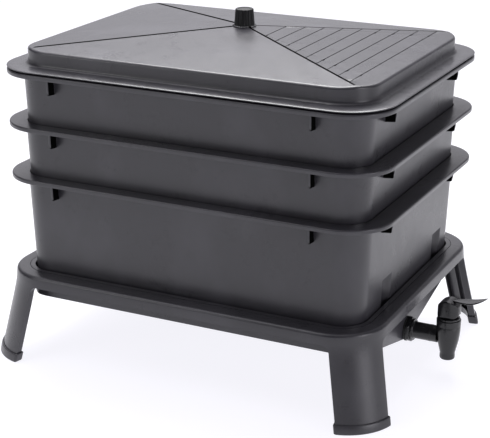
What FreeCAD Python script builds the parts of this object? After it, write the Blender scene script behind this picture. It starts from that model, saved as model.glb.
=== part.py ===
# Stacked-tray wormery: three perforated trays on a four-legged stand, with a hipped lid,
# a hopper-shaped liquid collector and a lever tap. +Z is up, +X points along the tap and the
# origin lies on the floor under the middle of the stack. All sizes are millimetres.
import FreeCAD, Part
import math
import os
import re

import Sketcher
from FreeCAD import Placement, Rotation, Vector

SIZES = {
    # trays
    "rim_length": 600.0,
    "rim_width": 449.0,
    "rim_corner": 68.6,
    "rim_thick": 3.0,
    "rim_lip": 6.6,
    "rim_round": 2.0,
    "overhang_end": 27.0,
    "overhang_side": 20.5,
    "wall_corner": 44.0,
    "wall_slope": 0.04,
    "tray_wall": 2.4,
    "tray_floor": 3.0,
    "tray_depth": 185.0,
    "tray_foot_round": 3.0,
    "ledge_drop": 106.4,
    "flute_width": 30.0,
    "flute_deep": 7.0,
    "flute_from_corner_front": 70.0,
    "flute_from_corner_back": 41.0,
    "gusset_reach": 15.5,
    "gusset_tall": 29.5,
    "gusset_thick": 3.0,
    "gusset_from_corner_long": 26.0,
    "gusset_from_corner_end": 33.0,
    "worm_hole": 9.0,
    "worm_pitch": 38.0,
    # lid
    "brim_gap": 2.4,
    "brim_thick": 2.6,
    "brim_round": 1.0,
    "land_width": 3.0,
    "land_inset": 17.0,
    "locator_deep": 9.0,
    "locator_play": 1.2,
    "deck_inset_end": 27.2,
    "deck_inset_side": 26.2,
    "deck_corner": 53.4,
    "deck_rise": 23.0,
    "roof_rise": 23.4,
    "deck_arris": 3.5,
    "lid_wall": 2.6,
    "hip_wide": 2.6,
    "hip_deep": 1.5,
    "hip_margin": 30.0,
    "slat_wide": 1.3,
    "slat_deep": 0.8,
    "slat_pitch": 23.3,
    "slat_margin": 35.2,
    # knob, its screw and its washer
    "knob_seat": 17.5,
    "knob_seat_rise": 0.4,
    "knob_boss": 12.0,
    "knob_boss_deep": 5.0,
    "knob_foot": 15.0,
    "knob_crown": 13.4,
    "knob_tall": 24.0,
    "knob_edge": 1.6,
    "ridge_cut": 1.5,
    "screw_shank": 2.0,
    "screw_play": 0.6,
    "screw_reach": 14.0,
    "screw_head": 4.5,
    "screw_head_tall": 3.0,
    "washer_round": 9.0,
    "washer_thick": 1.5,
    # stand
    "stand_top": 136.0,
    "stand_inset_end": 1.5,
    "stand_outset_side": 9.5,
    "stand_corner": 75.0,
    "skirt_deep": 17.0,
    "skirt_lean": 1.5,
    "skirt_wall": 3.0,
    "stand_plate": 3.0,
    "stand_arris": 5.0,
    "ledge_width": 5.0,
    "ledge_thick": 3.0,
    "leg_wall": 4.0,
    "leg_return": 10.0,
    "leg_return_wall": 3.0,
    "leg_first_angle": 13.0,
    "leg_last_angle": 77.0,
    "leg_splay_end": 21.5,
    "leg_splay_side": 19.0,
    "arch_radius": 11.0,
    "leg_rib_wide": 2.5,
    "leg_rib_deep": 5.0,
    # foot shoes
    "shoe_tall": 13.0,
    "shoe_sole": 4.0,
    "shoe_wall": 2.4,
    "shoe_play": 0.2,
    # liquid collector
    "collector_play": 0.5,
    "collector_wall": 2.4,
    "bin_play_end": 2.4,
    "bin_play_side": 3.8,
    "hopper_shoulder": 40.4,
    "hopper_fall": 52.6,
    "tray_seat": 98.5,
    "seat_rib_long": 30.0,
    "seat_rib_wide": 3.0,
    "seat_rib_tall": 14.0,
    "seat_rib_pitch": 160.0,
    # tap
    "tap_height": 60.0,
    "tap_reach": 64.0,
    "boss_round": 16.5,
    "boss_proud": 0.8,
    "boss_deep": 8.0,
    "gasket_round": 18.5,
    "gasket_thick": 2.0,
    "nut_across": 35.0,
    "nut_thick": 7.0,
    "collar_round": 16.5,
    "collar_thick": 3.0,
    "tail_round": 13.0,
    "thread_play": 0.05,
    "tube_round": 12.5,
    "tube_bore": 8.5,
    "body_round": 18.0,
    "body_rise": 28.0,
    "shoulder_rise": 8.0,
    "shoulder_round": 17.4,
    "taper_drop": 17.0,
    "taper_round": 12.6,
    "outlet_neck": 8.0,
    "outlet_drop": 35.0,
    "outlet_round": 10.9,
    "outlet_bore": 8.0,
    "chamber_round": 11.0,
    "seat_drop": 9.5,
    "seat_thick": 4.0,
    "seat_bore": 6.5,
    "bonnet_round": 16.5,
    "bonnet_head": 3.0,
    "bonnet_plug": 8.0,
    "stem_round": 4.2,
    "stem_play": 0.1,
    "stem_flange": 8.0,
    "stem_flange_thick": 2.0,
    "stem_nose": 1.8,
    "stem_above_pin": 4.5,
    "seal_round": 9.0,
    "seal_thick": 4.0,
    "spring_round": 6.3,
    "spring_wire": 1.2,
    "spring_turns": 6.0,
    "spring_play": 0.3,
    "pin_round": 1.9,
    "pin_play": 0.08,
    "pin_rise": 13.0,
    "cam_offset": 6.0,
    "cam_play": 0.3,
    "lever_width": 26.0,
    "lever_round": 17.0,
    "lever_slot": 9.4,
    "lever_slot_tall": 8.0,
    "blade_reach": 57.0,
    "blade_thick": 3.2,
    "blade_level": 15.5,
    "blade_tip_rise": 6.5,
    "blade_bend": 40.0,
    "blade_width": 22.0,
    # how far a cutting tool reaches past the face it enters
    "overcut": 1.0,
}
HOLES_LONG = 13
HOLES_SHORT = 9
SLATS = 9
KNOB_RIDGES = 18
ARCH_STEPS = 5
RIB_SHARES = (0.35, 0.65)

doc = FreeCAD.newDocument("Wormery")
sheet = doc.addObject("Spreadsheet::Sheet", "Sizes")
for row, (size_name, size_value) in enumerate(SIZES.items(), start=1):
    sheet.set("A%d" % row, size_name)
    sheet.set("B%d" % row, repr(size_value))
    sheet.setAlias("B%d" % row, size_name)
working = doc.addObject("Spreadsheet::Sheet", "Working")
doc.recompute()

WORD = re.compile(r"[a-z][a-z_]*")
finished = []


def linked(text):
    """The expression with every size name pointing at its cell of the sheet."""
    return WORD.sub(lambda word: "Sizes." + word.group(0) if word.group(0) in SIZES else word.group(0), text)


def number(text):
    """What an expression of size names comes to, worked out in a cell of a second sheet."""
    working.set("A1", "=" + linked(text))
    working.recompute()
    return float(working.A1)


def bind(thing, links):
    for path, text in links.items():
        thing.setExpression(path, linked(text))
    return thing


def finish(thing, node):
    """Name a sub-part after its node and keep it for writing."""
    thing.Label = node
    finished.append(thing)
    return thing


# Sketches, each on a plane of its own body


def new_body(name):
    body = doc.addObject("PartDesign::Body", name)
    body.AllowCompound = True
    return body


def sketch_on(body, plane, name, level="0"):
    """A sketch on one of the body's origin planes, moved by level along that plane's normal."""
    sketch = body.newObject("Sketcher::SketchObject", name)
    support = next(feature for feature in body.Origin.OriginFeatures if feature.Role == plane)
    sketch.AttachmentSupport = (support, [""])
    sketch.MapMode = "FlatFace"
    sketch.setExpression("AttachmentOffset.Base.z", linked(level))
    return sketch


def fix_point(sketch, part, point, x, y):
    """Hold one point of the sketch at the place that two size expressions give."""
    for kind, text in (("DistanceX", x), ("DistanceY", y)):
        rule = sketch.addConstraint(Sketcher.Constraint(kind, -1, 1, part, point, number(text)))
        sketch.setExpression("Constraints[%d]" % rule, linked(text))


def draw_polygon(sketch, corners):
    """A closed outline of straight sides, each corner a pair of size expressions."""
    points = [Vector(number(x), number(y), 0) for x, y in corners]
    sides = [sketch.addGeometry(Part.LineSegment(start, end), False)
             for start, end in zip(points, points[1:] + points[:1])]
    for side, following in zip(sides, sides[1:] + sides[:1]):
        sketch.addConstraint(Sketcher.Constraint("Coincident", side, 2, following, 1))
    for side, (x, y) in zip(sides, corners):
        fix_point(sketch, side, 1, x, y)


def draw_circle(sketch, x, y, radius):
    centre = Vector(number(x), number(y), 0)
    circle = sketch.addGeometry(Part.Circle(centre, Vector(0, 0, 1), number(radius)), False)
    fix_point(sketch, circle, 3, x, y)
    rule = sketch.addConstraint(Sketcher.Constraint("Radius", circle, number(radius)))
    sketch.setExpression("Constraints[%d]" % rule, linked(radius))


def draw_rounded_rectangle(sketch, half_x, half_y, radius):
    """Four corner arcs whose centres and radius follow the sizes, joined by tangent sides."""
    wide, high, bend = number(half_x), number(half_y), number(radius)
    arcs = []
    for turn, (across, along) in enumerate(((1, 1), (-1, 1), (-1, -1), (1, -1))):
        centre = Vector(across * (wide - bend), along * (high - bend), 0)
        circle = Part.Circle(centre, Vector(0, 0, 1), bend)
        start, end = turn * math.pi / 2, (turn + 1) * math.pi / 2
        arcs.append(sketch.addGeometry(Part.ArcOfCircle(circle, start, end), False))
        fix_point(sketch, arcs[-1], 3, "%d * (%s - (%s))" % (across, half_x, radius),
                  "%d * (%s - (%s))" % (along, half_y, radius))
    for arc, following in zip(arcs, arcs[1:] + arcs[:1]):
        start = sketch.getPoint(arc, 2)
        end = sketch.getPoint(following, 1)
        side = sketch.addGeometry(Part.LineSegment(start, end), False)
        sketch.addConstraint(Sketcher.Constraint("Tangent", arc, 2, side, 1))
        sketch.addConstraint(Sketcher.Constraint("Tangent", side, 2, following, 1))
    for arc in arcs[1:]:
        sketch.addConstraint(Sketcher.Constraint("Equal", arcs[0], arc))
    rule = sketch.addConstraint(Sketcher.Constraint("Radius", arcs[0], bend))
    sketch.setExpression("Constraints[%d]" % rule, linked(radius))


# Solids


def pad_up(body, sketch, name, height):
    pad = body.newObject("PartDesign::Pad", name)
    pad.Profile = sketch
    pad.setExpression("Length", linked(height))
    return pad


def rounded_block(name, half_x, half_y, radius, low, high):
    """An upright block with a rounded rectangular outline between two levels."""
    body = new_body(name)
    sketch = sketch_on(body, "XY_Plane", name + "_outline", low)
    draw_rounded_rectangle(sketch, half_x, half_y, radius)
    pad_up(body, sketch, name + "_pad", "(%s) - (%s)" % (high, low))
    return body


def tapered_block(name, half_x, half_y, radius, low, high, slope):
    """A rounded block given at its high level, whose four sides and corners draw in going down."""
    body = new_body(name)
    upper = sketch_on(body, "XY_Plane", name + "_upper", high)
    draw_rounded_rectangle(upper, half_x, half_y, radius)
    inward = "(%s) * ((%s) - (%s))" % (slope, high, low)
    lower = sketch_on(body, "XY_Plane", name + "_lower", low)
    draw_rounded_rectangle(lower, "%s - %s" % (half_x, inward), "%s - %s" % (half_y, inward),
                           "%s - %s" % (radius, inward))
    loft = body.newObject("PartDesign::AdditiveLoft", name + "_loft")
    loft.Profile = lower
    loft.Sections = [upper]
    loft.Ruled = True
    return body


def side_prism(name, plane, corners, half_width):
    """A straight prism of equal reach each way from an upright plane through the middle."""
    body = new_body(name)
    sketch = sketch_on(body, plane, name + "_outline", "-(%s)" % half_width)
    draw_polygon(sketch, corners)
    pad_up(body, sketch, name + "_pad", "2 * (%s)" % half_width)
    return body


def turned(name, corners):
    """A solid of revolution about its own Z axis, from a half outline of radius and level."""
    body = new_body(name)
    sketch = sketch_on(body, "XZ_Plane", name + "_outline")
    draw_polygon(sketch, corners)
    spin = body.newObject("PartDesign::Revolution", name + "_turned")
    spin.Profile = sketch
    spin.ReferenceAxis = (sketch, ["V_Axis"])
    spin.Angle = 360
    return body


def flat_ring(name, outer, inner, thick):
    body = new_body(name)
    sketch = sketch_on(body, "XY_Plane", name + "_outline")
    draw_circle(sketch, "0", "0", outer)
    draw_circle(sketch, "0", "0", inner)
    pad_up(body, sketch, name + "_pad", thick)
    return body


def box(name, size, corner):
    """A box from three length expressions and the three of its lowest corner."""
    solid = doc.addObject("Part::Box", name)
    bind(solid, dict(zip(("Length", "Width", "Height"), size)))
    return bind(solid, dict(zip(("Placement.Base.x", "Placement.Base.y", "Placement.Base.z"), corner)))


def rod(name, radius, length, start, direction):
    """A cylinder from a start point of three expressions along a direction."""
    solid = doc.addObject("Part::Cylinder", name)
    solid.Placement = Placement(Vector(), Rotation(Vector(0, 0, 1), direction))
    bind(solid, {"Radius": radius, "Height": length})
    return bind(solid, dict(zip(("Placement.Base.x", "Placement.Base.y", "Placement.Base.z"), start)))


def joined(name, *solids):
    fuse = doc.addObject("Part::MultiFuse", name)
    fuse.Shapes = list(solids)
    return fuse


def shared(name, *solids):
    common = doc.addObject("Part::MultiCommon", name)
    common.Shapes = list(solids)
    return common


def without(name, base, tool):
    cut = doc.addObject("Part::Cut", name)
    cut.Base = base
    cut.Tool = tool
    return cut


def rounded_edges(name, base, radius, wanted):
    """The base with a fillet on each edge that the test function wants."""
    doc.recompute()
    fillet = doc.addObject("Part::Fillet", name)
    fillet.Base = base
    size = number(radius)
    chosen = [index for index, edge in enumerate(base.Shape.Edges, start=1) if wanted(edge)]
    fillet.Edges = [(index, size, size) for index in chosen]
    return fillet


def level_edge(level):
    """A test for edges that lie flat at a level."""
    height = number(level)
    return lambda edge: abs(edge.BoundBox.ZMin - height) < 0.01 and abs(edge.BoundBox.ZMax - height) < 0.01


# Trays. Level 0 of a tray is the top of its rim.

WALL_END = "(rim_length / 2 - overhang_end)"
WALL_SIDE = "(rim_width / 2 - overhang_side)"
FLUTE_ROUND = "((flute_width ^ 2 / 4 + flute_deep ^ 2) / (2 * flute_deep))"
FLUTE_FRONT = "(%s - wall_corner - flute_from_corner_front)" % WALL_SIDE
FLUTE_BACK = "(%s - wall_corner - flute_from_corner_back)" % WALL_SIDE
GUSSET_LONG = "(%s - wall_corner - gusset_from_corner_long)" % WALL_END
GUSSET_SHORT = "(%s - wall_corner - gusset_from_corner_end)" % WALL_SIDE


def tray_rim(name):
    """A flat flange with a turned-down, rounded edge."""
    block = rounded_block(name + "_rim_block", "rim_length / 2", "rim_width / 2", "rim_corner",
                          "-rim_lip", "0")
    soft = rounded_edges(name + "_rim_soft", block, "rim_round", level_edge("0"))
    under = rounded_block(name + "_rim_under", "rim_length / 2 - rim_thick", "rim_width / 2 - rim_thick",
                          "rim_corner - rim_thick", "-rim_lip - overcut", "-rim_thick")
    return without(name + "_rim", soft, under)


def tray_gussets(name):
    """Upright plates under the rim: two on each long side and two on each end."""
    plates = []
    tall = "gusset_tall - rim_thick / 2"
    for right in (1, -1):
        for back in (1, -1):
            where = "%s%s" % ("right" if right > 0 else "left", "_back" if back > 0 else "_front")
            reach = "gusset_reach + tray_wall"
            start = "%s - tray_wall" % WALL_SIDE if back > 0 else "-%s - gusset_reach" % WALL_SIDE
            plates.append(box("%s_gusset_long_%s" % (name, where), ("gusset_thick", reach, tall),
                              ("%d * %s - gusset_thick / 2" % (right, GUSSET_LONG), start, "-gusset_tall")))
            start = "%s - tray_wall" % WALL_END if right > 0 else "-%s - gusset_reach" % WALL_END
            plates.append(box("%s_gusset_short_%s" % (name, where), (reach, "gusset_thick", tall),
                              (start, "%d * %s - gusset_thick / 2" % (back, GUSSET_SHORT), "-gusset_tall")))
    return plates


def flute_posts(name, radius, low, high):
    """Upright rods at the four flutes of a tray."""
    posts = []
    foot = "%s - wall_slope * tray_depth - flute_deep + %s" % (WALL_END, FLUTE_ROUND)
    for right in (1, -1):
        for row, place in (("front", "-" + FLUTE_FRONT), ("back", FLUTE_BACK)):
            posts.append(rod("%s_%s_%s" % (name, "right" if right > 0 else "left", row), radius,
                             "(%s) - (%s)" % (high, low), ("%d * (%s)" % (right, foot), place, low),
                             Vector(0, 0, 1)))
    return posts


def worm_holes(name):
    """A grid of round pins that pierce the floor."""
    body = new_body(name)
    sketch = sketch_on(body, "XY_Plane", name + "_circle", "-tray_depth - overcut")
    draw_circle(sketch, "-worm_pitch * %d" % ((HOLES_LONG - 1) // 2),
                "-worm_pitch * %d" % ((HOLES_SHORT - 1) // 2), "worm_hole / 2")
    pin = pad_up(body, sketch, name + "_pin", "tray_floor + 2 * overcut")
    grid = body.newObject("PartDesign::MultiTransform", name + "_grid")
    rows = []
    for axis, count in (("X_Axis", HOLES_LONG), ("Y_Axis", HOLES_SHORT)):
        row = body.newObject("PartDesign::LinearPattern", "%s_%s" % (name, axis))
        row.Direction = (next(f for f in body.Origin.OriginFeatures if f.Role == axis), [""])
        row.setExpression("Length", linked("worm_pitch * %d" % (count - 1)))
        row.Occurrences = count
        rows.append(row)
    grid.Originals = [pin]
    grid.Transformations = rows
    body.Tip = grid
    return body


def make_tray(node, level, turn):
    outside = tapered_block(node + "_outside", WALL_END, WALL_SIDE, "wall_corner", "-tray_depth", "0",
                            "wall_slope")
    inside = tapered_block(node + "_inside", WALL_END + " - tray_wall", WALL_SIDE + " - tray_wall",
                           "wall_corner - tray_wall", "-tray_depth + tray_floor", "0", "wall_slope")
    mouth = rounded_block(node + "_mouth", WALL_END + " - tray_wall", WALL_SIDE + " - tray_wall",
                          "wall_corner - tray_wall", "0", "overcut")
    shell = joined(node + "_shell", outside, tray_rim(node), *tray_gussets(node))
    shell = rounded_edges(node + "_shell_soft", shell, "tray_foot_round", level_edge("-tray_depth"))
    hollow = without(node + "_hollow", shell, joined(node + "_room", inside, mouth))
    ledges = shared(node + "_ledges", shell,
                    joined(node + "_posts", *flute_posts(node + "_post", FLUTE_ROUND + " + tray_wall",
                                                         "-tray_depth", "-ledge_drop")))
    flutes = flute_posts(node + "_flute", FLUTE_ROUND, "-tray_depth - overcut", "-ledge_drop - tray_wall")
    tray = without(node + "_cut", joined(node + "_solid", hollow, ledges),
                   joined(node + "_openings", worm_holes(node + "_holes"), *flutes))
    tray.Placement = Placement(Vector(0, 0, number(level)), Rotation(Vector(0, 0, 1), turn))
    tray.setExpression("Placement.Base.z", linked(level))
    return finish(tray, node)


LOWER_RIM = "tray_seat + tray_depth"
STEP = "(tray_depth - ledge_drop)"
make_tray("lower_tray", LOWER_RIM, 0)
make_tray("middle_tray", LOWER_RIM + " + " + STEP, 180)
make_tray("upper_tray", LOWER_RIM + " + 2 * " + STEP, 0)

# Lid. Level 0 is the top of the upper tray's rim, on which the lid's land rests.

LID_LEVEL = LOWER_RIM + " + 2 * " + STEP
BRIM_TOP = "(brim_gap + brim_thick)"
APEX = "(brim_gap + brim_thick + deck_rise + roof_rise)"
DECK_END = "(rim_length / 2 - deck_inset_end)"
DECK_SIDE = "(rim_width / 2 - deck_inset_side)"
OVERRUN = 1.2
ARRIS_TURNS = (27, 55)


def arris_block(name, turn):
    """A block whose leaning sides touch the round of the deck's arris at an angle off level."""
    lean, reach = math.tan(math.radians(turn)), 1 / math.cos(math.radians(turn))
    inward = "deck_arris - deck_arris * %.9f + %.9f * (deck_arris + roof_rise + overcut)" % (reach, lean)
    end, side, corner = ("%s - (%s)" % (size, inward) for size in (DECK_END, DECK_SIDE, "deck_corner"))
    return tapered_block(name, end, side, corner, "brim_gap", APEX + " + overcut", "-%.9f" % lean)


def roof_block(name, inset, low, *others):
    """The raised deck: an upright rounded block under four slopes that meet at one point, and
    within any other blocks."""
    prism = rounded_block(name + "_prism", "%s - %s" % (DECK_END, inset), "%s - %s" % (DECK_SIDE, inset),
                          "deck_corner - %s" % inset, low, APEX)
    slopes = []
    for plane, half, width in (("XZ_Plane", DECK_END, DECK_SIDE), ("YZ_Plane", DECK_SIDE, DECK_END)):
        eaves = "%s - %s - %g * roof_rise" % (APEX, inset, OVERRUN)
        far = "%g * %s" % (OVERRUN, half)
        slopes.append(side_prism("%s_%s" % (name, plane), plane, (
            ("-" + far, low), (far, low), (far, eaves), ("0", "%s - %s" % (APEX, inset)), ("-" + far, eaves)),
            "%g * %s" % (OVERRUN, width)))
    return shared(name, prism, *slopes, *others)


def hip_grooves():
    """One groove down each hip of the roof, from the knob's seat almost to the corner."""
    end, side, rise = number(DECK_END), number(DECK_SIDE), number("roof_rise")
    run = math.hypot(end, side)
    slope = math.degrees(math.atan2(rise, run))
    start = number("knob_seat + hip_deep")
    grooves = []
    for right in (1, -1):
        for back in (1, -1):
            heading = math.atan2(back * side, right * end)
            groove = doc.addObject("Part::Box", "hip_groove")
            whole = "sqrt(%s ^ 2 + %s ^ 2)" % (DECK_END, DECK_SIDE)
            bind(groove, {"Length": whole + " - hip_margin - knob_seat - hip_deep",
                          "Width": "hip_wide", "Height": "2 * hip_deep"})
            turn = Rotation(Vector(0, 0, 1), math.degrees(heading)) * Rotation(Vector(0, 1, 0), slope)
            drop = start * rise / run
            top = Vector(start * math.cos(heading), start * math.sin(heading), number(APEX) - drop)
            corner = Vector(0, -number("hip_wide") / 2, -number("hip_deep"))
            groove.Placement = Placement(top + turn.multVec(corner), turn)
            grooves.append(groove)
    return grooves


def slat_grooves():
    """Fine grooves across the roof's right-hand slope, from hip to hip."""
    end, rise = number(DECK_END), number("roof_rise")
    turn = Rotation(Vector(0, 1, 0), math.degrees(math.atan2(rise, end)))
    grooves = []
    for index in range(SLATS):
        place = "(%s - slat_margin - %d * slat_pitch)" % (DECK_END, index)
        half = "(%s * %s / %s)" % (place, DECK_SIDE, DECK_END)
        groove = doc.addObject("Part::Box", "slat_groove")
        bind(groove, {"Length": "slat_wide", "Width": "2 * %s" % half, "Height": "2 * slat_deep"})
        top = Vector(number(place), 0, number(APEX) - number(place) * rise / end)
        corner = Vector(-number("slat_wide") / 2, -number(half), -number("slat_deep"))
        groove.Placement = Placement(top + turn.multVec(corner), turn)
        grooves.append(groove)
    return grooves


def frame_ring(name, end, side, radius, width, low, high):
    """An upright rectangular ring wall of a given width."""
    outer = rounded_block(name + "_outer", end, side, radius, low, high)
    inner = rounded_block(name + "_inner", "%s - %s" % (end, width), "%s - %s" % (side, width),
                          "%s - %s" % (radius, width), "%s - overcut" % low, "%s + overcut" % high)
    return without(name, outer, inner)


def make_lid():
    brim = rounded_block("lid_brim", "rim_length / 2", "rim_width / 2", "rim_corner", "brim_gap", BRIM_TOP)
    brim = rounded_edges("lid_brim_soft", brim, "brim_round",
                         lambda edge: level_edge("brim_gap")(edge) or level_edge(BRIM_TOP)(edge))
    arris = [arris_block("lid_arris", turn) for turn in ARRIS_TURNS]
    deck = roof_block("lid_deck", "0", "brim_gap + brim_thick / 2", *arris)
    seat = rod("lid_knob_seat", "knob_seat", "knob_boss_deep + knob_seat_rise",
               ("0", "0", APEX + " - knob_boss_deep"), Vector(0, 0, 1))
    hollow = without("lid_hollow", joined("lid_outside", brim, deck, seat),
                     roof_block("lid_room", "lid_wall", "brim_gap - overcut"))
    boss = rod("lid_boss", "knob_boss", "lid_wall / 2 + knob_boss_deep",
               ("0", "0", APEX + " - lid_wall - knob_boss_deep"), Vector(0, 0, 1))
    land = frame_ring("lid_land", "rim_length / 2 - land_inset", "rim_width / 2 - land_inset",
                      "rim_corner - land_inset", "land_width", "0", "brim_gap + brim_thick / 2")
    inner_end = WALL_END + " - tray_wall - locator_play"
    inner_side = WALL_SIDE + " - tray_wall - locator_play"
    inner_corner = "wall_corner - tray_wall - locator_play"
    locator = frame_ring("lid_locator", inner_end, inner_side, inner_corner, "lid_wall",
                         "-locator_deep", BRIM_TOP)
    root = frame_ring("lid_locator_root", DECK_END + " - lid_wall / 2", DECK_SIDE + " - lid_wall / 2",
                      "deck_corner - lid_wall / 2", "2 * lid_wall + locator_play", "brim_gap", BRIM_TOP)
    bore = rod("lid_screw_bore", "screw_shank + screw_play", "3 * knob_boss_deep",
               ("0", "0", APEX + " - 2.5 * knob_boss_deep"), Vector(0, 0, 1))
    solid = joined("lid_solid", hollow, boss, land, locator, root)
    lid = without("lid_cut", solid, joined("lid_openings", bore, *hip_grooves(), *slat_grooves()))
    bind(lid, {"Placement.Base.z": LID_LEVEL})
    return finish(lid, "lid")


def make_knob():
    """A tapered round knob with upright ridges, blind-bored from below for its screw."""
    knob = turned("knob_body", (
        ("screw_shank", "0"), ("knob_foot", "0"), ("knob_crown", "knob_tall - knob_edge"),
        ("knob_crown - knob_edge", "knob_tall"), ("0", "knob_tall"), ("0", "screw_reach"),
        ("screw_shank", "screw_reach")))
    sketch = sketch_on(knob, "XY_Plane", "knob_ridge_circle")
    draw_circle(sketch, "(knob_foot + knob_crown) / 2 + ridge_cut / 5", "0", "ridge_cut")
    groove = knob.newObject("PartDesign::Pocket", "knob_ridge")
    groove.Profile = sketch
    groove.Type = "Length"
    groove.setExpression("Length", linked("knob_tall + overcut"))
    groove.Reversed = True
    doc.recompute()
    ring = knob.newObject("PartDesign::PolarPattern", "knob_ridges")
    ring.Axis = (next(f for f in knob.Origin.OriginFeatures if f.Role == "Z_Axis"), [""])
    ring.Originals = [groove]
    ring.Angle = 360
    ring.Occurrences = KNOB_RIDGES
    knob.Tip = ring
    bind(knob, {"Placement.Base.z": "%s + %s + knob_seat_rise" % (LID_LEVEL, APEX)})
    return finish(knob, "lid_knob")


UNDER_BOSS = "%s + %s - lid_wall - knob_boss_deep" % (LID_LEVEL, APEX)
SCREW_TOP = "washer_thick + lid_wall + knob_boss_deep + knob_seat_rise + screw_reach - overcut"

make_lid()
make_knob()
washer = flat_ring("knob_washer", "washer_round", "screw_shank + screw_play", "washer_thick")
bind(washer, {"Placement.Base.z": UNDER_BOSS + " - washer_thick"})
finish(washer, "lid_knob_washer")
screw = turned("knob_screw", (
    ("0", "-screw_head_tall"), ("screw_head", "-screw_head_tall"), ("screw_head", "0"),
    ("screw_shank - thread_play", "0"), ("screw_shank - thread_play", SCREW_TOP), ("0", SCREW_TOP)))
bind(screw, {"Placement.Base.z": UNDER_BOSS + " - washer_thick"})
finish(screw, "lid_knob_screw")

# Liquid collector: a hopper under the trays whose floor falls from both sides and from the
# left end to the tap. Its rim lies in the stand's opening, flush with the stand's top.

BIN_END = "(%s - wall_slope * (%s - stand_top) + bin_play_end + collector_wall)" % (WALL_END, LOWER_RIM)
BIN_SIDE = "(%s - wall_slope * (%s - stand_top) + bin_play_side + collector_wall)" % (WALL_SIDE, LOWER_RIM)
BIN_CORNER = "(wall_corner - wall_slope * (%s - stand_top) + bin_play_end + collector_wall)" % LOWER_RIM
HOPPER_LOW = "(stand_top - hopper_shoulder - hopper_fall)"
FALL_RATE = "(hopper_fall / %s)" % BIN_SIDE


def hopper(name, inset, top):
    """A tapered rounded block whose underside is cut to the falling floor, inset all round."""
    raised = "(%s * sqrt(1 + %s ^ 2))" % (inset, FALL_RATE)
    end, side, corner = ("%s - %s" % (size, inset) for size in (BIN_END, BIN_SIDE, BIN_CORNER))
    block = tapered_block(name + "_block", end, side, corner, HOPPER_LOW + " + " + inset, "stand_top",
                          "wall_slope")
    low = HOPPER_LOW + " - hopper_fall"
    bottom = "%s + %s" % (HOPPER_LOW, raised)
    far_side = "%g * %s" % (OVERRUN, BIN_SIDE)
    high_side = "%s + %g * hopper_fall" % (bottom, OVERRUN)
    valley = side_prism(name + "_valley", "YZ_Plane", (
        ("-" + far_side, low), (far_side, low), (far_side, high_side), ("0", bottom),
        ("-" + far_side, high_side)), "%g * %s" % (OVERRUN, BIN_END))
    far_end = "%g * %s" % (OVERRUN, BIN_END)
    spare = "%g * hopper_fall" % ((OVERRUN - 1) / 2)
    slide = side_prism(name + "_slide", "XZ_Plane", (
        ("-" + far_end, low), (far_end, low), (far_end, "%s - %s" % (bottom, spare)),
        ("-" + far_end, "%s + hopper_fall + %s" % (bottom, spare))), far_side)
    shape = without(name + "_cut", block, joined(name + "_waste", valley, slide))
    if top:
        mouth = rounded_block(name + "_mouth", end, side, corner, "stand_top", "stand_top + overcut")
        shape = joined(name, shape, mouth)
    return shape


BOSS_FACE = "(%s - wall_slope * (stand_top - tap_height) + boss_proud)" % BIN_END
BOSS_LENGTH = "(boss_proud + collector_wall + boss_deep)"


def make_collector():
    outside = hopper("collector_outside", "0", False)
    end, side, corner = (size + " + ledge_width - collector_play" for size in (BIN_END, BIN_SIDE, BIN_CORNER))
    rim = rounded_block("collector_rim", end, side, corner, "stand_top - stand_plate", "stand_top")
    ribs = []
    inner = BIN_SIDE + " - collector_wall"
    for back in (1, -1):
        for index in (-1, 0, 1):
            start = inner + " - seat_rib_long" if back > 0 else "-" + BIN_SIDE
            place = "%d * seat_rib_pitch - seat_rib_wide / 2" % index
            ribs.append(box("collector_rib",
                            ("seat_rib_wide", "seat_rib_long + collector_wall", "seat_rib_tall"),
                            (place, start, "tray_seat - seat_rib_tall")))
    boss = rod("collector_boss", "boss_round", BOSS_LENGTH,
               ("%s - %s" % (BOSS_FACE, BOSS_LENGTH), "0", "tap_height"), Vector(1, 0, 0))
    hollow = without("collector_hollow", joined("collector_full", outside, rim),
                     hopper("collector_room", "collector_wall", True))
    bore = rod("collector_tap_bore", "tail_round + thread_play", BOSS_LENGTH + " + 2 * overcut",
               ("%s - %s - overcut" % (BOSS_FACE, BOSS_LENGTH), "0", "tap_height"), Vector(1, 0, 0))
    seats = shared("collector_ribs", joined("collector_rib_set", *ribs), outside)
    solid = joined("collector_solid", hollow, seats, boss)
    return finish(without("collector_cut", solid, bore), "collector_tray")


make_collector()

# Stand: a flat ring with a skirt, an inner ledge for the collector and four splayed legs.

STAND_END = "(rim_length / 2 - stand_inset_end)"
STAND_SIDE = "(rim_width / 2 + stand_outset_side)"
SKIRT_LOW = "(stand_top - skirt_deep)"


def leg_centre(level, right, back):
    """The middle of a leg's corner arc at a level: it moves outwards going down."""
    share = (number(SKIRT_LOW) - level) / number(SKIRT_LOW)
    end = number(STAND_END + " - stand_corner") + share * number("leg_splay_end")
    side = number(STAND_SIDE + " - stand_corner") + share * number("leg_splay_side")
    return Vector(right * end, back * side, level)


def leg_point(level, right, back, radius, angle):
    """A point on a leg at an angle turned from the long side towards the end of the stand."""
    turn = math.radians(angle)
    arm = Vector(right * radius * math.sin(turn), back * radius * math.cos(turn), 0)
    return leg_centre(level, right, back) + arm


def sector_wire(level, right, back, inner, outer, first, last):
    """An outline between two radii and two angles."""

    def at(radius, angle):
        return leg_point(level, right, back, radius, angle)

    middle = (first + last) / 2
    return Part.Wire([
        Part.Arc(at(outer, first), at(outer, middle), at(outer, last)).toShape(),
        Part.makeLine(at(outer, last), at(inner, last)),
        Part.Arc(at(inner, last), at(inner, middle), at(inner, first)).toShape(),
        Part.makeLine(at(inner, first), at(outer, first))])


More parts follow.
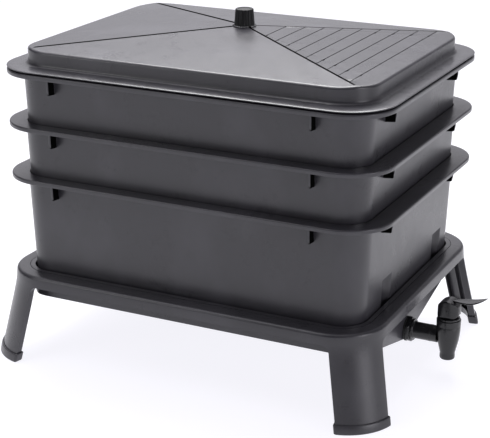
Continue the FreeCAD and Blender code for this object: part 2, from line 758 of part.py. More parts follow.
def channel_wire(level, right, back, first, last):
    """A leg's section: a corner arc with a return flange along each edge."""
    outer = number("stand_corner")
    web = outer - number("leg_wall")
    lip = outer - number("leg_return")
    lap = math.degrees(number("leg_return_wall") / outer)

    def at(radius, angle):
        return leg_point(level, right, back, radius, angle)

    middle = (first + last) / 2
    return Part.Wire([
        Part.Arc(at(outer, first), at(outer, middle), at(outer, last)).toShape(),
        Part.makeLine(at(outer, last), at(lip, last)),
        Part.makeLine(at(lip, last), at(lip, last - lap)),
        Part.makeLine(at(lip, last - lap), at(web, last - lap)),
        Part.Arc(at(web, last - lap), at(web, middle), at(web, first + lap)).toShape(),
        Part.makeLine(at(web, first + lap), at(lip, first + lap)),
        Part.makeLine(at(lip, first + lap), at(lip, first)),
        Part.makeLine(at(lip, first), at(outer, first))])


def leg_solid(right, back):
    """A channel from the shoe's sole to the plate, flared into the skirt by an arch on each side."""
    first, last = number("leg_first_angle"), number("leg_last_angle")
    arch, outer = number("arch_radius"), number("stand_corner")
    skirt, plate = number(SKIRT_LOW), number("stand_top - stand_plate / 2")
    levels = [(number("shoe_sole"), 0.0)]
    for step in range(ARCH_STEPS + 1):
        swing = math.pi / 2 * step / ARCH_STEPS
        flare = math.degrees(arch * (1 - math.cos(swing)) / outer)
        levels.append((skirt - arch + arch * math.sin(swing), flare))
    levels.append((plate, levels[-1][1]))
    sections = [channel_wire(level, right, back, first - flare, last + flare) for level, flare in levels]
    channel = Part.makeLoft(sections, True, True)
    web = outer - number("leg_wall") / 2
    half = math.degrees(number("leg_rib_wide") / outer) / 2
    ribs = []
    for share in RIB_SHARES:
        angle = first + share * (last - first)
        ends = [sector_wire(level, right, back, web - number("leg_rib_deep"), web, angle - half, angle + half)
                for level in (number("shoe_sole"), plate)]
        ribs.append(Part.makeLoft(ends, True, True))
    return channel.fuse(ribs).removeSplitter()


CORNERS = [(right, back, "%s_%s" % ("back" if back > 0 else "front", "right" if right > 0 else "left"))
           for back in (-1, 1) for right in (-1, 1)]


def make_stand():
    lean = "-(skirt_lean / skirt_deep)"
    end, side, corner = (size + " - skirt_lean" for size in (STAND_END, STAND_SIDE, "stand_corner"))
    outer = tapered_block("stand_outer", end, side, corner, SKIRT_LOW, "stand_top", lean)
    under = tapered_block("stand_under", end + " - skirt_wall", side + " - skirt_wall",
                          corner + " - skirt_wall", SKIRT_LOW + " - overcut", "stand_top - stand_plate", lean)
    rest = "stand_top - stand_plate"
    ledge = rounded_block("stand_ledge", BIN_END + " + 3 * ledge_width", BIN_SIDE + " + 3 * ledge_width",
                          BIN_CORNER + " + 3 * ledge_width", rest + " - ledge_thick", rest)
    upper_hole = rounded_block("stand_upper_hole", BIN_END + " + ledge_width", BIN_SIDE + " + ledge_width",
                               BIN_CORNER + " + ledge_width", rest, "stand_top + overcut")
    lower_hole = rounded_block("stand_lower_hole", BIN_END + " + collector_play",
                               BIN_SIDE + " + collector_play", BIN_CORNER + " + collector_play",
                               rest + " - ledge_thick - overcut", rest)
    skirt = rounded_edges("stand_skirt_soft", without("stand_skirt", outer, under), "stand_arris",
                          level_edge("stand_top"))
    ring = without("stand_ring", joined("stand_plates", skirt, ledge),
                   joined("stand_opening", upper_hole, lower_hole))
    legs = []
    for right, back, name in CORNERS:
        leg = doc.addObject("Part::Feature", "leg_" + name)
        leg.Shape = leg_solid(right, back)
        legs.append(leg)
    return finish(joined("stand_solid", ring, *legs), "stand")


def make_shoe(right, back, name):
    """A foot shoe: a shallow cup, open on top, into which the leg's end stands."""
    first, last = number("leg_first_angle"), number("leg_last_angle")
    outer, inner = number("stand_corner"), number("stand_corner - leg_return")
    play, wall = number("shoe_play"), number("shoe_play + shoe_wall")
    near, more = math.degrees(play / outer), math.degrees(wall / outer)
    cup = [sector_wire(level, right, back, inner - wall, outer + wall, first - more, last + more)
           for level in (0, number("shoe_tall"))]
    well = [sector_wire(level, right, back, inner - play, outer + play, first - near, last + near)
            for level in (number("shoe_sole"), number("shoe_tall + overcut"))]
    shoe = doc.addObject("Part::Feature", "shoe_" + name)
    shoe.Shape = Part.makeLoft(cup, True, True).cut(Part.makeLoft(well, True, True))
    return finish(shoe, "foot_shoe_" + name)


make_stand()
for right_side, back_side, place_name in CORNERS:
    make_shoe(right_side, back_side, place_name)

# Tap. Each turned piece of it stands on the body's upright axis, with level 0 at the spout tube.

TAP_AXIS = "(%s + tap_reach)" % BOSS_FACE
BONNET_TOP = "(body_rise + bonnet_head)"
SEAL_TOP = "(seal_thick - seat_drop)"


def on_tap_axis(thing, rise="0"):
    return bind(thing, {"Placement.Base.x": TAP_AXIS, "Placement.Base.z": "tap_height + " + rise})


def make_tap_body():
    barrel = on_tap_axis(turned("tap_barrel", (
        ("chamber_round", "body_rise"), ("body_round", "body_rise"), ("shoulder_round", "shoulder_rise"),
        ("taper_round", "-taper_drop"), ("outlet_round", "-taper_drop - outlet_neck"),
        ("outlet_round", "-outlet_drop"), ("outlet_bore", "-outlet_drop"),
        ("outlet_bore", "-seat_drop - seat_thick"), ("seat_bore", "-seat_drop - seat_thick"),
        ("seat_bore", "-seat_drop"), ("chamber_round", "-seat_drop"))))
    tail_start = "%s - %s" % (BOSS_FACE, BOSS_LENGTH)
    collar_start = BOSS_FACE + " + gasket_thick + nut_thick"
    along = Vector(1, 0, 0)
    tail = rod("tap_tail", "tail_round", BOSS_LENGTH + " + gasket_thick + nut_thick",
               (tail_start, "0", "tap_height"), along)
    collar = rod("tap_collar", "collar_round", "collar_thick", (collar_start, "0", "tap_height"), along)
    tube = rod("tap_tube", "tube_round", "tap_reach - gasket_thick - nut_thick",
               (collar_start, "0", "tap_height"), along)
    chamber = rod("tap_chamber_room", "chamber_round", "body_rise + seat_drop",
                  (TAP_AXIS, "0", "tap_height - seat_drop"), Vector(0, 0, 1))
    bore = rod("tap_inlet_bore", "tube_bore", BOSS_LENGTH + " + tap_reach", (tail_start, "0", "tap_height"),
               along)
    solid = joined("tap_solid", barrel, tail, collar, tube)
    return finish(without("tap_cut", solid, joined("tap_rooms", bore, chamber)), "tap_body")


def make_lock_nut():
    """A hexagonal nut on the tap's tail, drawn up against the gasket."""
    body = new_body("lock_nut_body")
    sketch = sketch_on(body, "YZ_Plane", "lock_nut_outline", BOSS_FACE + " + gasket_thick")
    corner_reach = "nut_across / sqrt(3)"
    corners = []
    for index in range(6):
        turn = math.radians(60 * index)
        corners.append(("%s * %.9f" % (corner_reach, math.sin(turn)),
                        "%s * %.9f + tap_height" % (corner_reach, math.cos(turn))))
    draw_polygon(sketch, corners)
    draw_circle(sketch, "0", "tap_height", "tail_round + thread_play")
    pad_up(body, sketch, "lock_nut_pad", "nut_thick")
    return finish(body, "tap_lock_nut")


def make_gasket():
    body = new_body("gasket_body")
    sketch = sketch_on(body, "YZ_Plane", "gasket_outline", BOSS_FACE)
    draw_circle(sketch, "0", "tap_height", "gasket_round")
    draw_circle(sketch, "0", "tap_height", "tail_round + thread_play")
    pad_up(body, sketch, "gasket_pad", "gasket_thick")
    return finish(body, "tap_gasket")


def coil_route(radius, pitch, turns):
    """A helix as pairs of arcs, one pair to a quarter turn. The two arcs of a pair meet halfway
    between the tips of equal tangents from its ends, which lie twice that tangent apart."""
    def place(angle):
        return Vector(radius * math.cos(angle), radius * math.sin(angle), pitch * angle / (2 * math.pi))

    def heading(angle):
        way = Vector(-radius * math.sin(angle), radius * math.cos(angle), pitch / (2 * math.pi))
        return way.normalize()

    def arc(start, tip, end):
        chord = end.sub(start)
        weight = chord.Length / 2 / tip.sub(start).Length
        crown = (start.add(end).multiply(0.5).add(tip * weight)).multiply(1 / (1 + weight))
        return Part.Arc(start, crown, end).toShape()

    quarter = math.pi / 2
    edges = []
    for index in range(int(round(4 * turns))):
        start, end = place(index * quarter), place((index + 1) * quarter)
        leave, arrive = heading(index * quarter), heading((index + 1) * quarter)
        span, both = end.sub(start), leave.add(arrive)
        square = 4 - both.dot(both)
        slack = span.dot(both)
        reach = (math.sqrt(slack ** 2 + square * span.dot(span)) - slack) / square
        first, last = start.add(leave * reach), end.sub(arrive * reach)
        joint = first.add(last).multiply(0.5)
        edges += [arc(start, first, joint), arc(joint, last, end)]
    return Part.Wire(edges)


def make_spring():
    """A coil between the stem's flange and the bonnet's plug, its ends cut square by its length."""
    low = number(SEAL_TOP + " + stem_flange_thick + spring_play + spring_wire / 2")
    high = number("body_rise - bonnet_plug - spring_play - spring_wire / 2")
    radius, wire, turns = number("spring_round"), number("spring_wire / 2"), number("spring_turns")
    pitch = (high - low) / turns
    slope = Vector(0, 2 * math.pi * radius, pitch)
    ring = Part.Wire([Part.Circle(Vector(radius, 0, 0), slope, wire).toShape()])
    spring = doc.addObject("Part::Feature", "spring_coil")
    spring.Shape = coil_route(radius, pitch, turns).makePipeShell([ring], True)
    spring.Placement = Placement(Vector(number(TAP_AXIS), 0, number("tap_height") + low), Rotation())
    print("spring: least gap between turns %.2f mm" % (pitch - 2 * wire))
    return finish(spring, "tap_spring")


def make_stem():
    stem = on_tap_axis(turned("stem_body", (
        ("0", "-seat_drop + stem_nose"), ("stem_nose", "-seat_drop + stem_nose"), ("stem_nose", SEAL_TOP),
        ("stem_flange", SEAL_TOP), ("stem_flange", SEAL_TOP + " + stem_flange_thick"),
        ("stem_round", SEAL_TOP + " + stem_flange_thick"),
        ("stem_round", BONNET_TOP + " + pin_rise + stem_above_pin"),
        ("0", BONNET_TOP + " + pin_rise + stem_above_pin"))))
    eye = rod("stem_eye", "pin_round + pin_play", "4 * stem_round",
              (TAP_AXIS, "2 * stem_round", "tap_height + %s + pin_rise" % BONNET_TOP), Vector(0, -1, 0))
    return finish(without("stem_cut", stem, eye), "tap_stem")


def make_lever():
    """A hood over the stem with a thumb blade; its underside is a cam that rides on the bonnet."""
    pin_level = "tap_height + %s + pin_rise" % BONNET_TOP
    half = "lever_width / 2"
    cam_round = "(pin_rise - cam_play)"
    across = Vector(0, -1, 0)
    hood = rod("lever_hood", "lever_round", "lever_width", (TAP_AXIS, half, pin_level), across)
    upper = box("lever_upper", ("2 * lever_round", "lever_width", "lever_round"),
                ("%s - lever_round" % TAP_AXIS, "-" + half, pin_level))
    cam = rod("lever_cam", cam_round, "lever_width", (TAP_AXIS + " + cam_offset", half, pin_level), across)
    heel = box("lever_heel", ("lever_round", "lever_width", cam_round),
               ("%s - lever_round" % TAP_AXIS, "-" + half, "%s - %s" % (pin_level, cam_round)))
    core = shared("lever_core", joined("lever_sides", shared("lever_dome", hood, upper), cam, heel),
                  rod("lever_barrel", "lever_round + cam_play", "4 * lever_round",
                      (TAP_AXIS, "0", pin_level + " - 2 * lever_round"), Vector(0, 0, 1)))
    blade = side_prism("lever_blade", "XZ_Plane", (
        ("0", "blade_level - blade_thick"), ("blade_bend", "blade_level"),
        ("blade_reach", "blade_level + blade_tip_rise"),
        ("blade_reach - blade_thick / 4", "blade_level + blade_tip_rise + blade_thick"),
        ("blade_bend", "blade_level + blade_thick"), ("0", "blade_level + blade_thick / 4")),
        "blade_width / 2")
    bind(blade, {"Placement.Base.x": TAP_AXIS, "Placement.Base.z": pin_level})
    slot = box("lever_slot", ("3 * lever_slot", "lever_slot", "2 * lever_round"),
               ("%s - 1.5 * lever_slot" % TAP_AXIS, "-lever_slot / 2",
                pin_level + " - 2 * lever_round + lever_slot_tall"))
    eye = rod("lever_eye", "pin_round + pin_play", "2 * lever_width", (TAP_AXIS, "lever_width", pin_level),
              across)
    lever = without("lever_cut", joined("lever_solid", core, blade), joined("lever_rooms", slot, eye))
    return finish(lever, "tap_lever")


make_tap_body()
make_lock_nut()
make_gasket()
bonnet = on_tap_axis(turned("bonnet_body", (
    ("stem_round + stem_play", "body_rise - bonnet_plug"),
    ("chamber_round - thread_play", "body_rise - bonnet_plug"), ("chamber_round - thread_play", "body_rise"),
    ("bonnet_round", "body_rise"), ("bonnet_round", BONNET_TOP), ("stem_round + stem_play", BONNET_TOP))))
finish(bonnet, "tap_bonnet")
make_stem()
seal = on_tap_axis(turned("seal_body", (
    ("stem_nose + thread_play", "-seat_drop"), ("seal_round", "-seat_drop"), ("seal_round", SEAL_TOP),
    ("stem_nose + thread_play", SEAL_TOP))))
finish(seal, "tap_seal")
make_spring()
make_lever()
pin_body = doc.addObject("Part::Cylinder", "pin_body")
pin_body.Placement = Placement(Vector(), Rotation(Vector(0, 0, 1), Vector(0, -1, 0)))
bind(pin_body, {"Radius": "pin_round", "Height": "lever_width", "Placement.Base.x": TAP_AXIS,
                "Placement.Base.y": "lever_width / 2",
                "Placement.Base.z": "tap_height + %s + pin_rise" % BONNET_TOP})
finish(pin_body, "tap_lever_pin")

doc.recompute()
for thing in doc.Objects:
    if "Invalid" in thing.State or "Error" in thing.State:
        raise RuntimeError("%s did not build: %s" % (thing.Name, thing.State))
for thing in finished:
    if thing.Shape.isNull() or not thing.Shape.isValid():
        raise RuntimeError("%s has no valid shape" % thing.Label)

os.makedirs("parts", exist_ok=True)
for thing in finished:
    thing.Shape.exportStep("parts/%s.step" % thing.Label)
    bounds = thing.Shape.BoundBox
    print("%-24s solids %d  volume %10.0f  x %.1f..%.1f  y %.1f..%.1f  z %.1f..%.1f" % (
        thing.Label, len(thing.Shape.Solids), thing.Shape.Volume, bounds.XMin, bounds.XMax, bounds.YMin,
        bounds.YMax, bounds.ZMin, bounds.ZMax))
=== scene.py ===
import math

import bmesh
import bpy
import numpy as np
from mathutils import Matrix, Vector


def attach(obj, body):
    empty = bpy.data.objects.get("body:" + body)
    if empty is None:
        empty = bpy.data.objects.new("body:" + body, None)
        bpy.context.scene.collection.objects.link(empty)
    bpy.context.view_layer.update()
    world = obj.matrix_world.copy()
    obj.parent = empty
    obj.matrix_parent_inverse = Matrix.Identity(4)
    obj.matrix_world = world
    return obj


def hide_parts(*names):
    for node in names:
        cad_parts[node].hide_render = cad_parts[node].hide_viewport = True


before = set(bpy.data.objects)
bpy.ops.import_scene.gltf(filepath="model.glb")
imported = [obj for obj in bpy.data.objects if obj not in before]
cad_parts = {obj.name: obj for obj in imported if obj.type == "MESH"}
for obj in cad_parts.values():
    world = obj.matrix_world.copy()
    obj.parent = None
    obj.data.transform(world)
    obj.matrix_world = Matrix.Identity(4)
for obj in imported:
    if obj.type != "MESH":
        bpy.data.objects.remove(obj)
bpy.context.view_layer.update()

# Stand. One injection moulding in recycled charcoal polypropylene: a flat ring that carries the
# collector on an inner ledge, a rounded arris and skirt, and four splayed hollow legs whose
# curved faces run out of the skirt's corners.

STAND_TOP, SKIRT_LOW = 0.136, 0.119
SKIRT_END, SKIRT_SIDE, SKIRT_CORNER, SKIRT_LEAN, SKIRT_WALL = 0.2985, 0.234, 0.075, 0.0015, 0.003
STAND_ARRIS, PLATE = 0.005, 0.003
HOLE_END, HOLE_SIDE, HOLE_CORNER = 0.2724, 0.2048, 0.0434
RECESS_OUT, LEDGE_OUT, LEDGE_EDGE, RECESS_EDGE = 0.0045, 0.0145, 0.0004, 0.0006
LEG_SPLAY = np.array([0.0215, 0.019])
LEG_FIRST, LEG_LAST, ARCH = math.radians(13), math.radians(77), 0.011
LEG_WALL, RETURN, RETURN_WALL, RIB_WIDE, RIB_DEEP = 0.004, 0.010, 0.003, 0.0025, 0.005
RIB_SHARES, RETURN_EDGE = (0.65, 0.35), 0.0008
LEG_SHARES = np.linspace(0, 1, 29)
LEG_LEVELS = [0.102, 0.095, 0.085, 0.07, 0.04, 0.005]
BEND = 0.09
WELD = 1e-6


class Signal:
    """A node socket whose sums, products and the like turn into Math nodes."""

    def __init__(self, tree, socket):
        self.tree = tree
        self.socket = socket

    def combine(self, operation, *terms):
        node = self.tree.nodes.new("ShaderNodeMath")
        node.operation = operation
        for slot, term in zip(node.inputs, terms):
            if isinstance(term, Signal):
                self.tree.links.new(term.socket, slot)
            else:
                slot.default_value = term
        return Signal(self.tree, node.outputs[0])

    def __add__(self, other):
        return self.combine("ADD", self, other)

    __radd__ = __add__

    def __mul__(self, other):
        return self.combine("MULTIPLY", self, other)

    __rmul__ = __mul__

    def __sub__(self, other):
        return self.combine("SUBTRACT", self, other)

    def __rsub__(self, other):
        return self.combine("SUBTRACT", other, self)

    def __mod__(self, other):
        return self.combine("FLOORED_MODULO", self, other)

    def __pow__(self, other):
        return self.combine("POWER", self, other)

    def __abs__(self):
        return self.combine("ABSOLUTE", self)

    def above(self, other):
        return self.combine("MAXIMUM", self, other)


class Nodes:
    """A node tree that is being filled."""

    def __init__(self, tree):
        self.tree = tree

    def node(self, kind, settings=None, **sockets):
        """One node: its settings first, then a value or a link for each named socket."""
        node = self.tree.nodes.new(kind)
        for name, value in (settings or {}).items():
            setattr(node, name, value)
        for name, value in sockets.items():
            self.feed(node.inputs[name.replace("_", " ")], value)
        return node

    def feed(self, slot, value):
        if isinstance(value, Signal):
            self.tree.links.new(value.socket, slot)
        elif isinstance(value, bpy.types.NodeSocket):
            self.tree.links.new(value, slot)
        else:
            slot.default_value = value


class Finish(Nodes):
    """A material under construction, with its Principled shader ready."""

    def __init__(self, name):
        self.material = bpy.data.materials.new(name)
        self.material.use_nodes = True
        super().__init__(self.material.node_tree)
        self.shader = self.tree.nodes["Principled BSDF"]
        self.place = self.node("ShaderNodeTexCoord").outputs["Object"]

    def noise(self, scale, detail, place=None):
        node = self.node("ShaderNodeTexNoise", Vector=place or self.place, Scale=scale, Detail=detail)
        return Signal(self.tree, node.outputs["Fac"])

    def ramp(self, signal, low, high):
        """0 at one value, 1 at another and straight between."""
        node = self.node("ShaderNodeMapRange", {"clamp": True}, Value=signal, From_Min=low, From_Max=high)
        return Signal(self.tree, node.outputs["Result"])

    def blend(self, amount, dark, light):
        node = self.node("ShaderNodeMix", {"data_type": "RGBA"})
        self.feed(node.inputs[0], amount)
        self.feed(node.inputs[6], dark)
        self.feed(node.inputs[7], light)
        return node.outputs[2]

    def stretch(self, scale):
        return self.node("ShaderNodeMapping", Vector=self.place, Scale=scale).outputs["Vector"]

    def axes(self):
        outputs = self.node("ShaderNodeSeparateXYZ", Vector=self.place).outputs
        return [Signal(self.tree, outputs[axis]) for axis in "XYZ"]

    def set(self, **sockets):
        for name, value in sockets.items():
            self.feed(self.shader.inputs[name.replace("_", " ")], value)
        return self

    def bump(self, height, depth):
        """Surface relief of a given depth in metres."""
        node = self.node("ShaderNodeBump", Strength=1.0, Distance=depth, Height=height)
        self.set(Normal=node.outputs["Normal"])
        return self


def moulded_plastic(name, dark, light, rough, grain=2200, scuffs=0.08, shine=0.5, painted_shade=None):
    """Plastic with slow waves where the melt cooled unevenly, a fine spark-eroded grain and thin
    scuffs. The painted shade, if any, gives from 0 to 1 where a near-black coat is painted over the plastic
    as shade."""
    finish = Finish(name)
    waves = finish.noise(7, 3)
    cloud = finish.noise(38, 3)
    spark = finish.noise(grain, 2)
    fleck = finish.ramp(finish.noise(520, 2), 0.62, 0.74)
    scratch = finish.ramp(finish.noise(90, 5, finish.stretch((1, 6, 0.4))), 0.62, 0.75)
    haze = finish.ramp(finish.noise(11, 4, finish.stretch((1, 1, 0.6))), 0.5, 0.72)
    colour = finish.blend(waves * 0.5 + cloud * 0.4 + fleck * 0.25 + haze * 0.8, dark, light)
    roughness = rough + (waves - 0.5) * 0.12 + (cloud - 0.5) * 0.12 + (spark - 0.5) * 0.1 + scratch * scuffs
    if painted_shade:
        # The painted shade mixes in a near-black diffuse coat, from 0 to 1, to paint shade on the plastic.
        shade_coat = finish.node("ShaderNodeBsdfDiffuse", Color=(0.003, 0.003, 0.003, 1))
        both = finish.node("ShaderNodeMixShader")
        for slot, value in zip(both.inputs, (painted_shade(finish), finish.shader.outputs[0], shade_coat.outputs[0])):
            finish.feed(slot, value)
        finish.feed(finish.tree.nodes["Material Output"].inputs["Surface"], both.outputs[0])
    finish.set(Base_Color=colour, Roughness=roughness, Specular_IOR_Level=shine)
    return finish.bump(spark + cloud * 0.6 + scratch * -0.5, 0.00006).material


CHARCOAL, CHARCOAL_ROUGH = ((0.0255, 0.0245, 0.0290, 1), (0.0450, 0.0435, 0.0510, 1)), 0.3
charcoal = moulded_plastic("charcoal_plastic", *CHARCOAL, CHARCOAL_ROUGH)


def arc(steps):
    """The cosine and the sine of each evenly stepped angle from 0 to 90 degrees."""
    angles = np.radians(np.linspace(0, 90, steps + 1))
    return list(zip(np.cos(angles), np.sin(angles)))


def round_loop(end, side, corner, side_x, turns, end_y):
    """Rows of points round rounded rectangles, anticlockwise from the middle of the front side.
    Right half: x = side_x along the front, a corner's centre plus its radius times (cos, sin)
    of each turn, y = end_y up the right side, the same corner mirrored, and back along the
    rear. The left half is the right half mirrored."""
    rows = len(end)
    end, side, corner = (np.asarray(part, float).reshape(rows, 1) for part in (end, side, corner))
    side_x, turns, end_y = (np.broadcast_to(np.atleast_2d(part), (rows, np.atleast_2d(part).shape[1]))
                            for part in (side_x, turns, end_y))
    across = end - corner + corner * np.cos(turns)
    along = side - corner + corner * np.sin(turns)
    x = np.hstack([side_x, across[:, ::-1], end + 0 * end_y, across, side_x[:, ::-1]])
    y = np.hstack([-side + 0 * side_x, -along[:, ::-1], end_y, along, side + 0 * side_x])
    inner = slice(1, -1)
    return np.hstack([x, -x[:, ::-1][:, inner]]), np.hstack([y, y[:, ::-1][:, inner]])


def grid_faces(rows, columns, start=0, wrap_rows=False):
    """Quads that join each point of a grid, closed round its columns, to its neighbours."""
    row = np.arange(rows if wrap_rows else rows - 1)[:, None]
    column = np.arange(columns)[None, :]
    after, beside = (row + 1) % rows, (column + 1) % columns
    quads = np.stack([row * columns + column, row * columns + beside,
                      after * columns + beside, after * columns + column], -1)
    return quads.reshape(-1, 4) + start


def closed_faces(rows, columns):
    """The same quads with one face over the first row and one over the last."""
    first = list(range(columns))
    last = [(rows - 1) * columns + column for column in first]
    return grid_faces(rows, columns).tolist() + [first[::-1], last]


def piece(name, shapes, finish, body, node, crease=32):
    """One object from (points, faces) shapes, welded, smooth up to a crease angle."""
    points, faces = [], []
    for shape_points, shape_faces in shapes:
        start = len(points)
        points += np.asarray(shape_points, float).reshape(-1, 3).tolist()
        faces += [[int(index) + start for index in face] for face in shape_faces]
    mesh = bpy.data.meshes.new(name)
    mesh.from_pydata(points, [], faces)
    build = bmesh.new()
    build.from_mesh(mesh)
    bmesh.ops.remove_doubles(build, verts=build.verts, dist=WELD)
    bmesh.ops.dissolve_degenerate(build, edges=build.edges, dist=WELD)
    bmesh.ops.recalc_face_normals(build, faces=build.faces)
    build.to_mesh(mesh)
    build.free()
    mesh.shade_smooth()
    mesh.set_sharp_from_angle(angle=math.radians(crease))
    mesh.materials.append(finish)
    thing = bpy.data.objects.new(name, mesh)
    bpy.context.scene.collection.objects.link(thing)
    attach(thing, body)
    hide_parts(node)


def stand_ring():
    """The ring's section carried round the stand. Its corner angles are those of the legs' tops,
    so that skirt and leg share one edge."""
    rows = []

    def skirt(z, inward=0.0):
        lean = SKIRT_LEAN * (z - SKIRT_LOW) / (STAND_TOP - SKIRT_LOW) + inward
        rows.append((SKIRT_END - lean, SKIRT_SIDE - lean, SKIRT_CORNER - lean, z))

    def hole(z, out=0.0):
        rows.append((HOLE_END + out, HOLE_SIDE + out, HOLE_CORNER + out, z))

    skirt(SKIRT_LOW, SKIRT_WALL)
    skirt(SKIRT_LOW)
    skirt(SKIRT_LOW + 0.005)
    for c, s in arc(7):
        skirt(STAND_TOP - STAND_ARRIS * (1 - s), STAND_ARRIS * (1 - c))
    for c, s in arc(3):
        hole(STAND_TOP - RECESS_EDGE * (1 - c), RECESS_OUT + RECESS_EDGE * (1 - s))
    hole(STAND_TOP - PLATE, RECESS_OUT)
    hole(STAND_TOP - PLATE, LEDGE_EDGE)
    hole(STAND_TOP - PLATE - LEDGE_EDGE)
    hole(STAND_TOP - 2 * PLATE + LEDGE_EDGE)
    hole(STAND_TOP - 2 * PLATE, LEDGE_EDGE)
    hole(STAND_TOP - 2 * PLATE, LEDGE_OUT)
    hole(STAND_TOP - PLATE, LEDGE_OUT)
    skirt(STAND_TOP - PLATE, SKIRT_WALL)
    end, side, corner, z = np.array(rows).T
    flare = ARCH / SKIRT_CORNER
    turns = LEG_FIRST - flare + LEG_SHARES * (LEG_LAST - LEG_FIRST + 2 * flare)
    before, after = (LEG_FIRST - flare) / 2, (LEG_LAST + flare + math.pi / 2) / 2
    turns = np.concatenate([[0, before], turns, [after, math.pi / 2]])
    x, y = round_loop(end, side, corner, (end - corner)[:, None] * np.linspace(0, 0.95, 12)[None], turns,
                      (side - corner)[:, None] * np.linspace(-0.95, 0.95, 20)[None])
    return np.stack([x, y, np.broadcast_to(z[:, None], x.shape)], -1), grid_faces(*x.shape, wrap_rows=True)


def leg_shift(z):
    """How far a leg has moved outwards at a level: the skirt's own lean times the drop, plus the
    rest of the splay, which sets in over a short bend below the skirt."""
    drop = np.clip((SKIRT_LOW - z) / SKIRT_LOW, 0, 1)
    bend = (drop - BEND * (1 - np.exp(-drop / BEND))) / (1 - BEND * (1 - math.exp(-1 / BEND)))
    lean = SKIRT_LEAN / (STAND_TOP - SKIRT_LOW) * SKIRT_LOW
    return lean * drop[:, None] + (LEG_SPLAY - lean) * bend[:, None]


def bent(level, radius, angle, right, back):
    """Points of a leg at each level from a radius and an angle off the stand's end."""
    centre = np.array([SKIRT_END - SKIRT_CORNER, SKIRT_SIDE - SKIRT_CORNER]) + leg_shift(level)
    x = centre[:, :1] + radius * np.cos(angle)
    y = centre[:, 1:] + radius * np.sin(angle)
    return np.stack([right * x, back * y, np.broadcast_to(level[:, None], x.shape)], -1)


def leg(right, back):
    """A channel: the outer arc, a return along each edge, and inner ribs, carried down the splay.
    Towards the skirt each edge swings out through a quarter-circle arch."""
    swing = np.radians(np.linspace(90, 0, 9))
    levels = np.concatenate([SKIRT_LOW - ARCH + ARCH * np.sin(swing), LEG_LEVELS])
    flare = np.concatenate([ARCH * (1 - np.cos(swing)), np.zeros(len(LEG_LEVELS))]) / SKIRT_CORNER
    first, last = (LEG_FIRST - flare)[:, None], (LEG_LAST + flare)[:, None]
    outer = SKIRT_CORNER
    web, lip = outer - LEG_WALL, outer - RETURN
    lap, edge = RETURN_WALL / outer, RETURN_EDGE
    radius, angle = [outer + 0 * LEG_SHARES], [first + (last - first) * LEG_SHARES]

    def corner(r, a):
        radius.append(np.atleast_1d(r))
        angle.append(a + np.zeros((len(levels), 1)))

    corner(lip + edge, last)
    corner(lip, last - edge / outer)
    corner(lip, last - lap + edge / outer)
    corner(lip + edge, last - lap)
    corner(web, last - lap)
    half = RIB_WIDE / outer / 2
    rib = [(web, 1.3), (web - RIB_DEEP + 0.0004, 0.8), (web - RIB_DEEP, 0.5)]
    rib += [(r, -wide) for r, wide in rib[::-1]]
    for share in RIB_SHARES:
        for r, wide in rib:
            corner(r, first + (last - first) * share + half * wide)
    corner(web, first + lap)
    corner(lip + edge, first + lap)
    corner(lip, first + lap - edge / outer)
    corner(lip, first + edge / outer)
    corner(lip + edge, first)
    points = bent(levels, np.concatenate(radius)[None], np.hstack(angle), right, back)
    return points, closed_faces(*points.shape[:2])


corners = [(right, back, "%s_%s" % ("back" if back > 0 else "front", "right" if right > 0 else "left"))
           for back in (-1, 1) for right in (-1, 1)]
piece("stand_moulding", [stand_ring()] + [leg(right, back) for right, back, _ in corners],
      charcoal, "base", "stand")

# Foot shoes. Shallow cups moulded in the stand's plastic and pushed over the legs' ends, a little
# proud of them all round, that keep the hollow legs from cutting into soft ground.

SHOE_TALL, SHOE_SOLE, SHOE_OUT, SHOE_CORNER = 0.013, 0.004, 0.0026, 0.0026
SOLE_EDGE, LIP_EDGE = 0.002, 0.001


def shoe(right, back):
    """A rounded rectangle, bent to the leg's arc: length along the arc, width along its radius."""
    long, wide = (LEG_LAST - LEG_FIRST) / 2 * SKIRT_CORNER, RETURN / 2
    rows = []
    for c, s in arc(4):
        rows.append((SHOE_OUT - SOLE_EDGE * (1 - s), SOLE_EDGE * (1 - c)))
    rows += [(SHOE_OUT, SHOE_TALL * 0.6)]
    for c, s in arc(4):
        rows.append((SHOE_OUT - LIP_EDGE * (1 - c), SHOE_TALL - LIP_EDGE * (1 - s)))
    rows += [(0.0006, SHOE_TALL), (0.0002, SHOE_TALL - 0.0004), (0.0002, SHOE_SOLE)]
    out, z = np.array(rows).T
    x, y = round_loop(long + out, wide + out, np.full(len(rows), SHOE_CORNER), np.linspace(0, 0.95, 9) * long,
                      np.radians(np.linspace(0, 90, 7)), np.linspace(-1, 1, 3) * (wide - SHOE_CORNER))
    angle = (LEG_FIRST + LEG_LAST) / 2 + x / SKIRT_CORNER
    points = bent(z, SKIRT_CORNER - wide + y, angle, right, back)
    return points, closed_faces(*points.shape[:2])


for right, back, place in corners:
    piece("shoe_" + place, [shoe(right, back)],
          charcoal, "base", "foot_shoe_" + place, crease=40)

# Collector. The hopper-shaped charcoal moulding in the stand's opening keeps its constructed
# shape; its rim and the band under the bottom tray's rim are the only parts seen from outside.


def coat(node, finish):
    """Gives a constructed piece one material in place of its own."""
    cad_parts[node].data.materials.clear()
    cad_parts[node].data.materials.append(finish)


coat("collector_tray", charcoal)

# Tap. A black nylon barrel tap clamped to the collector by a hexagonal lock nut over a rubber
# gasket: a flanged tail and tube, a tapered body with a ribbed outlet, and a bonnet on top.
# Inside are a stem, its seal and a closing spring of stainless wire.

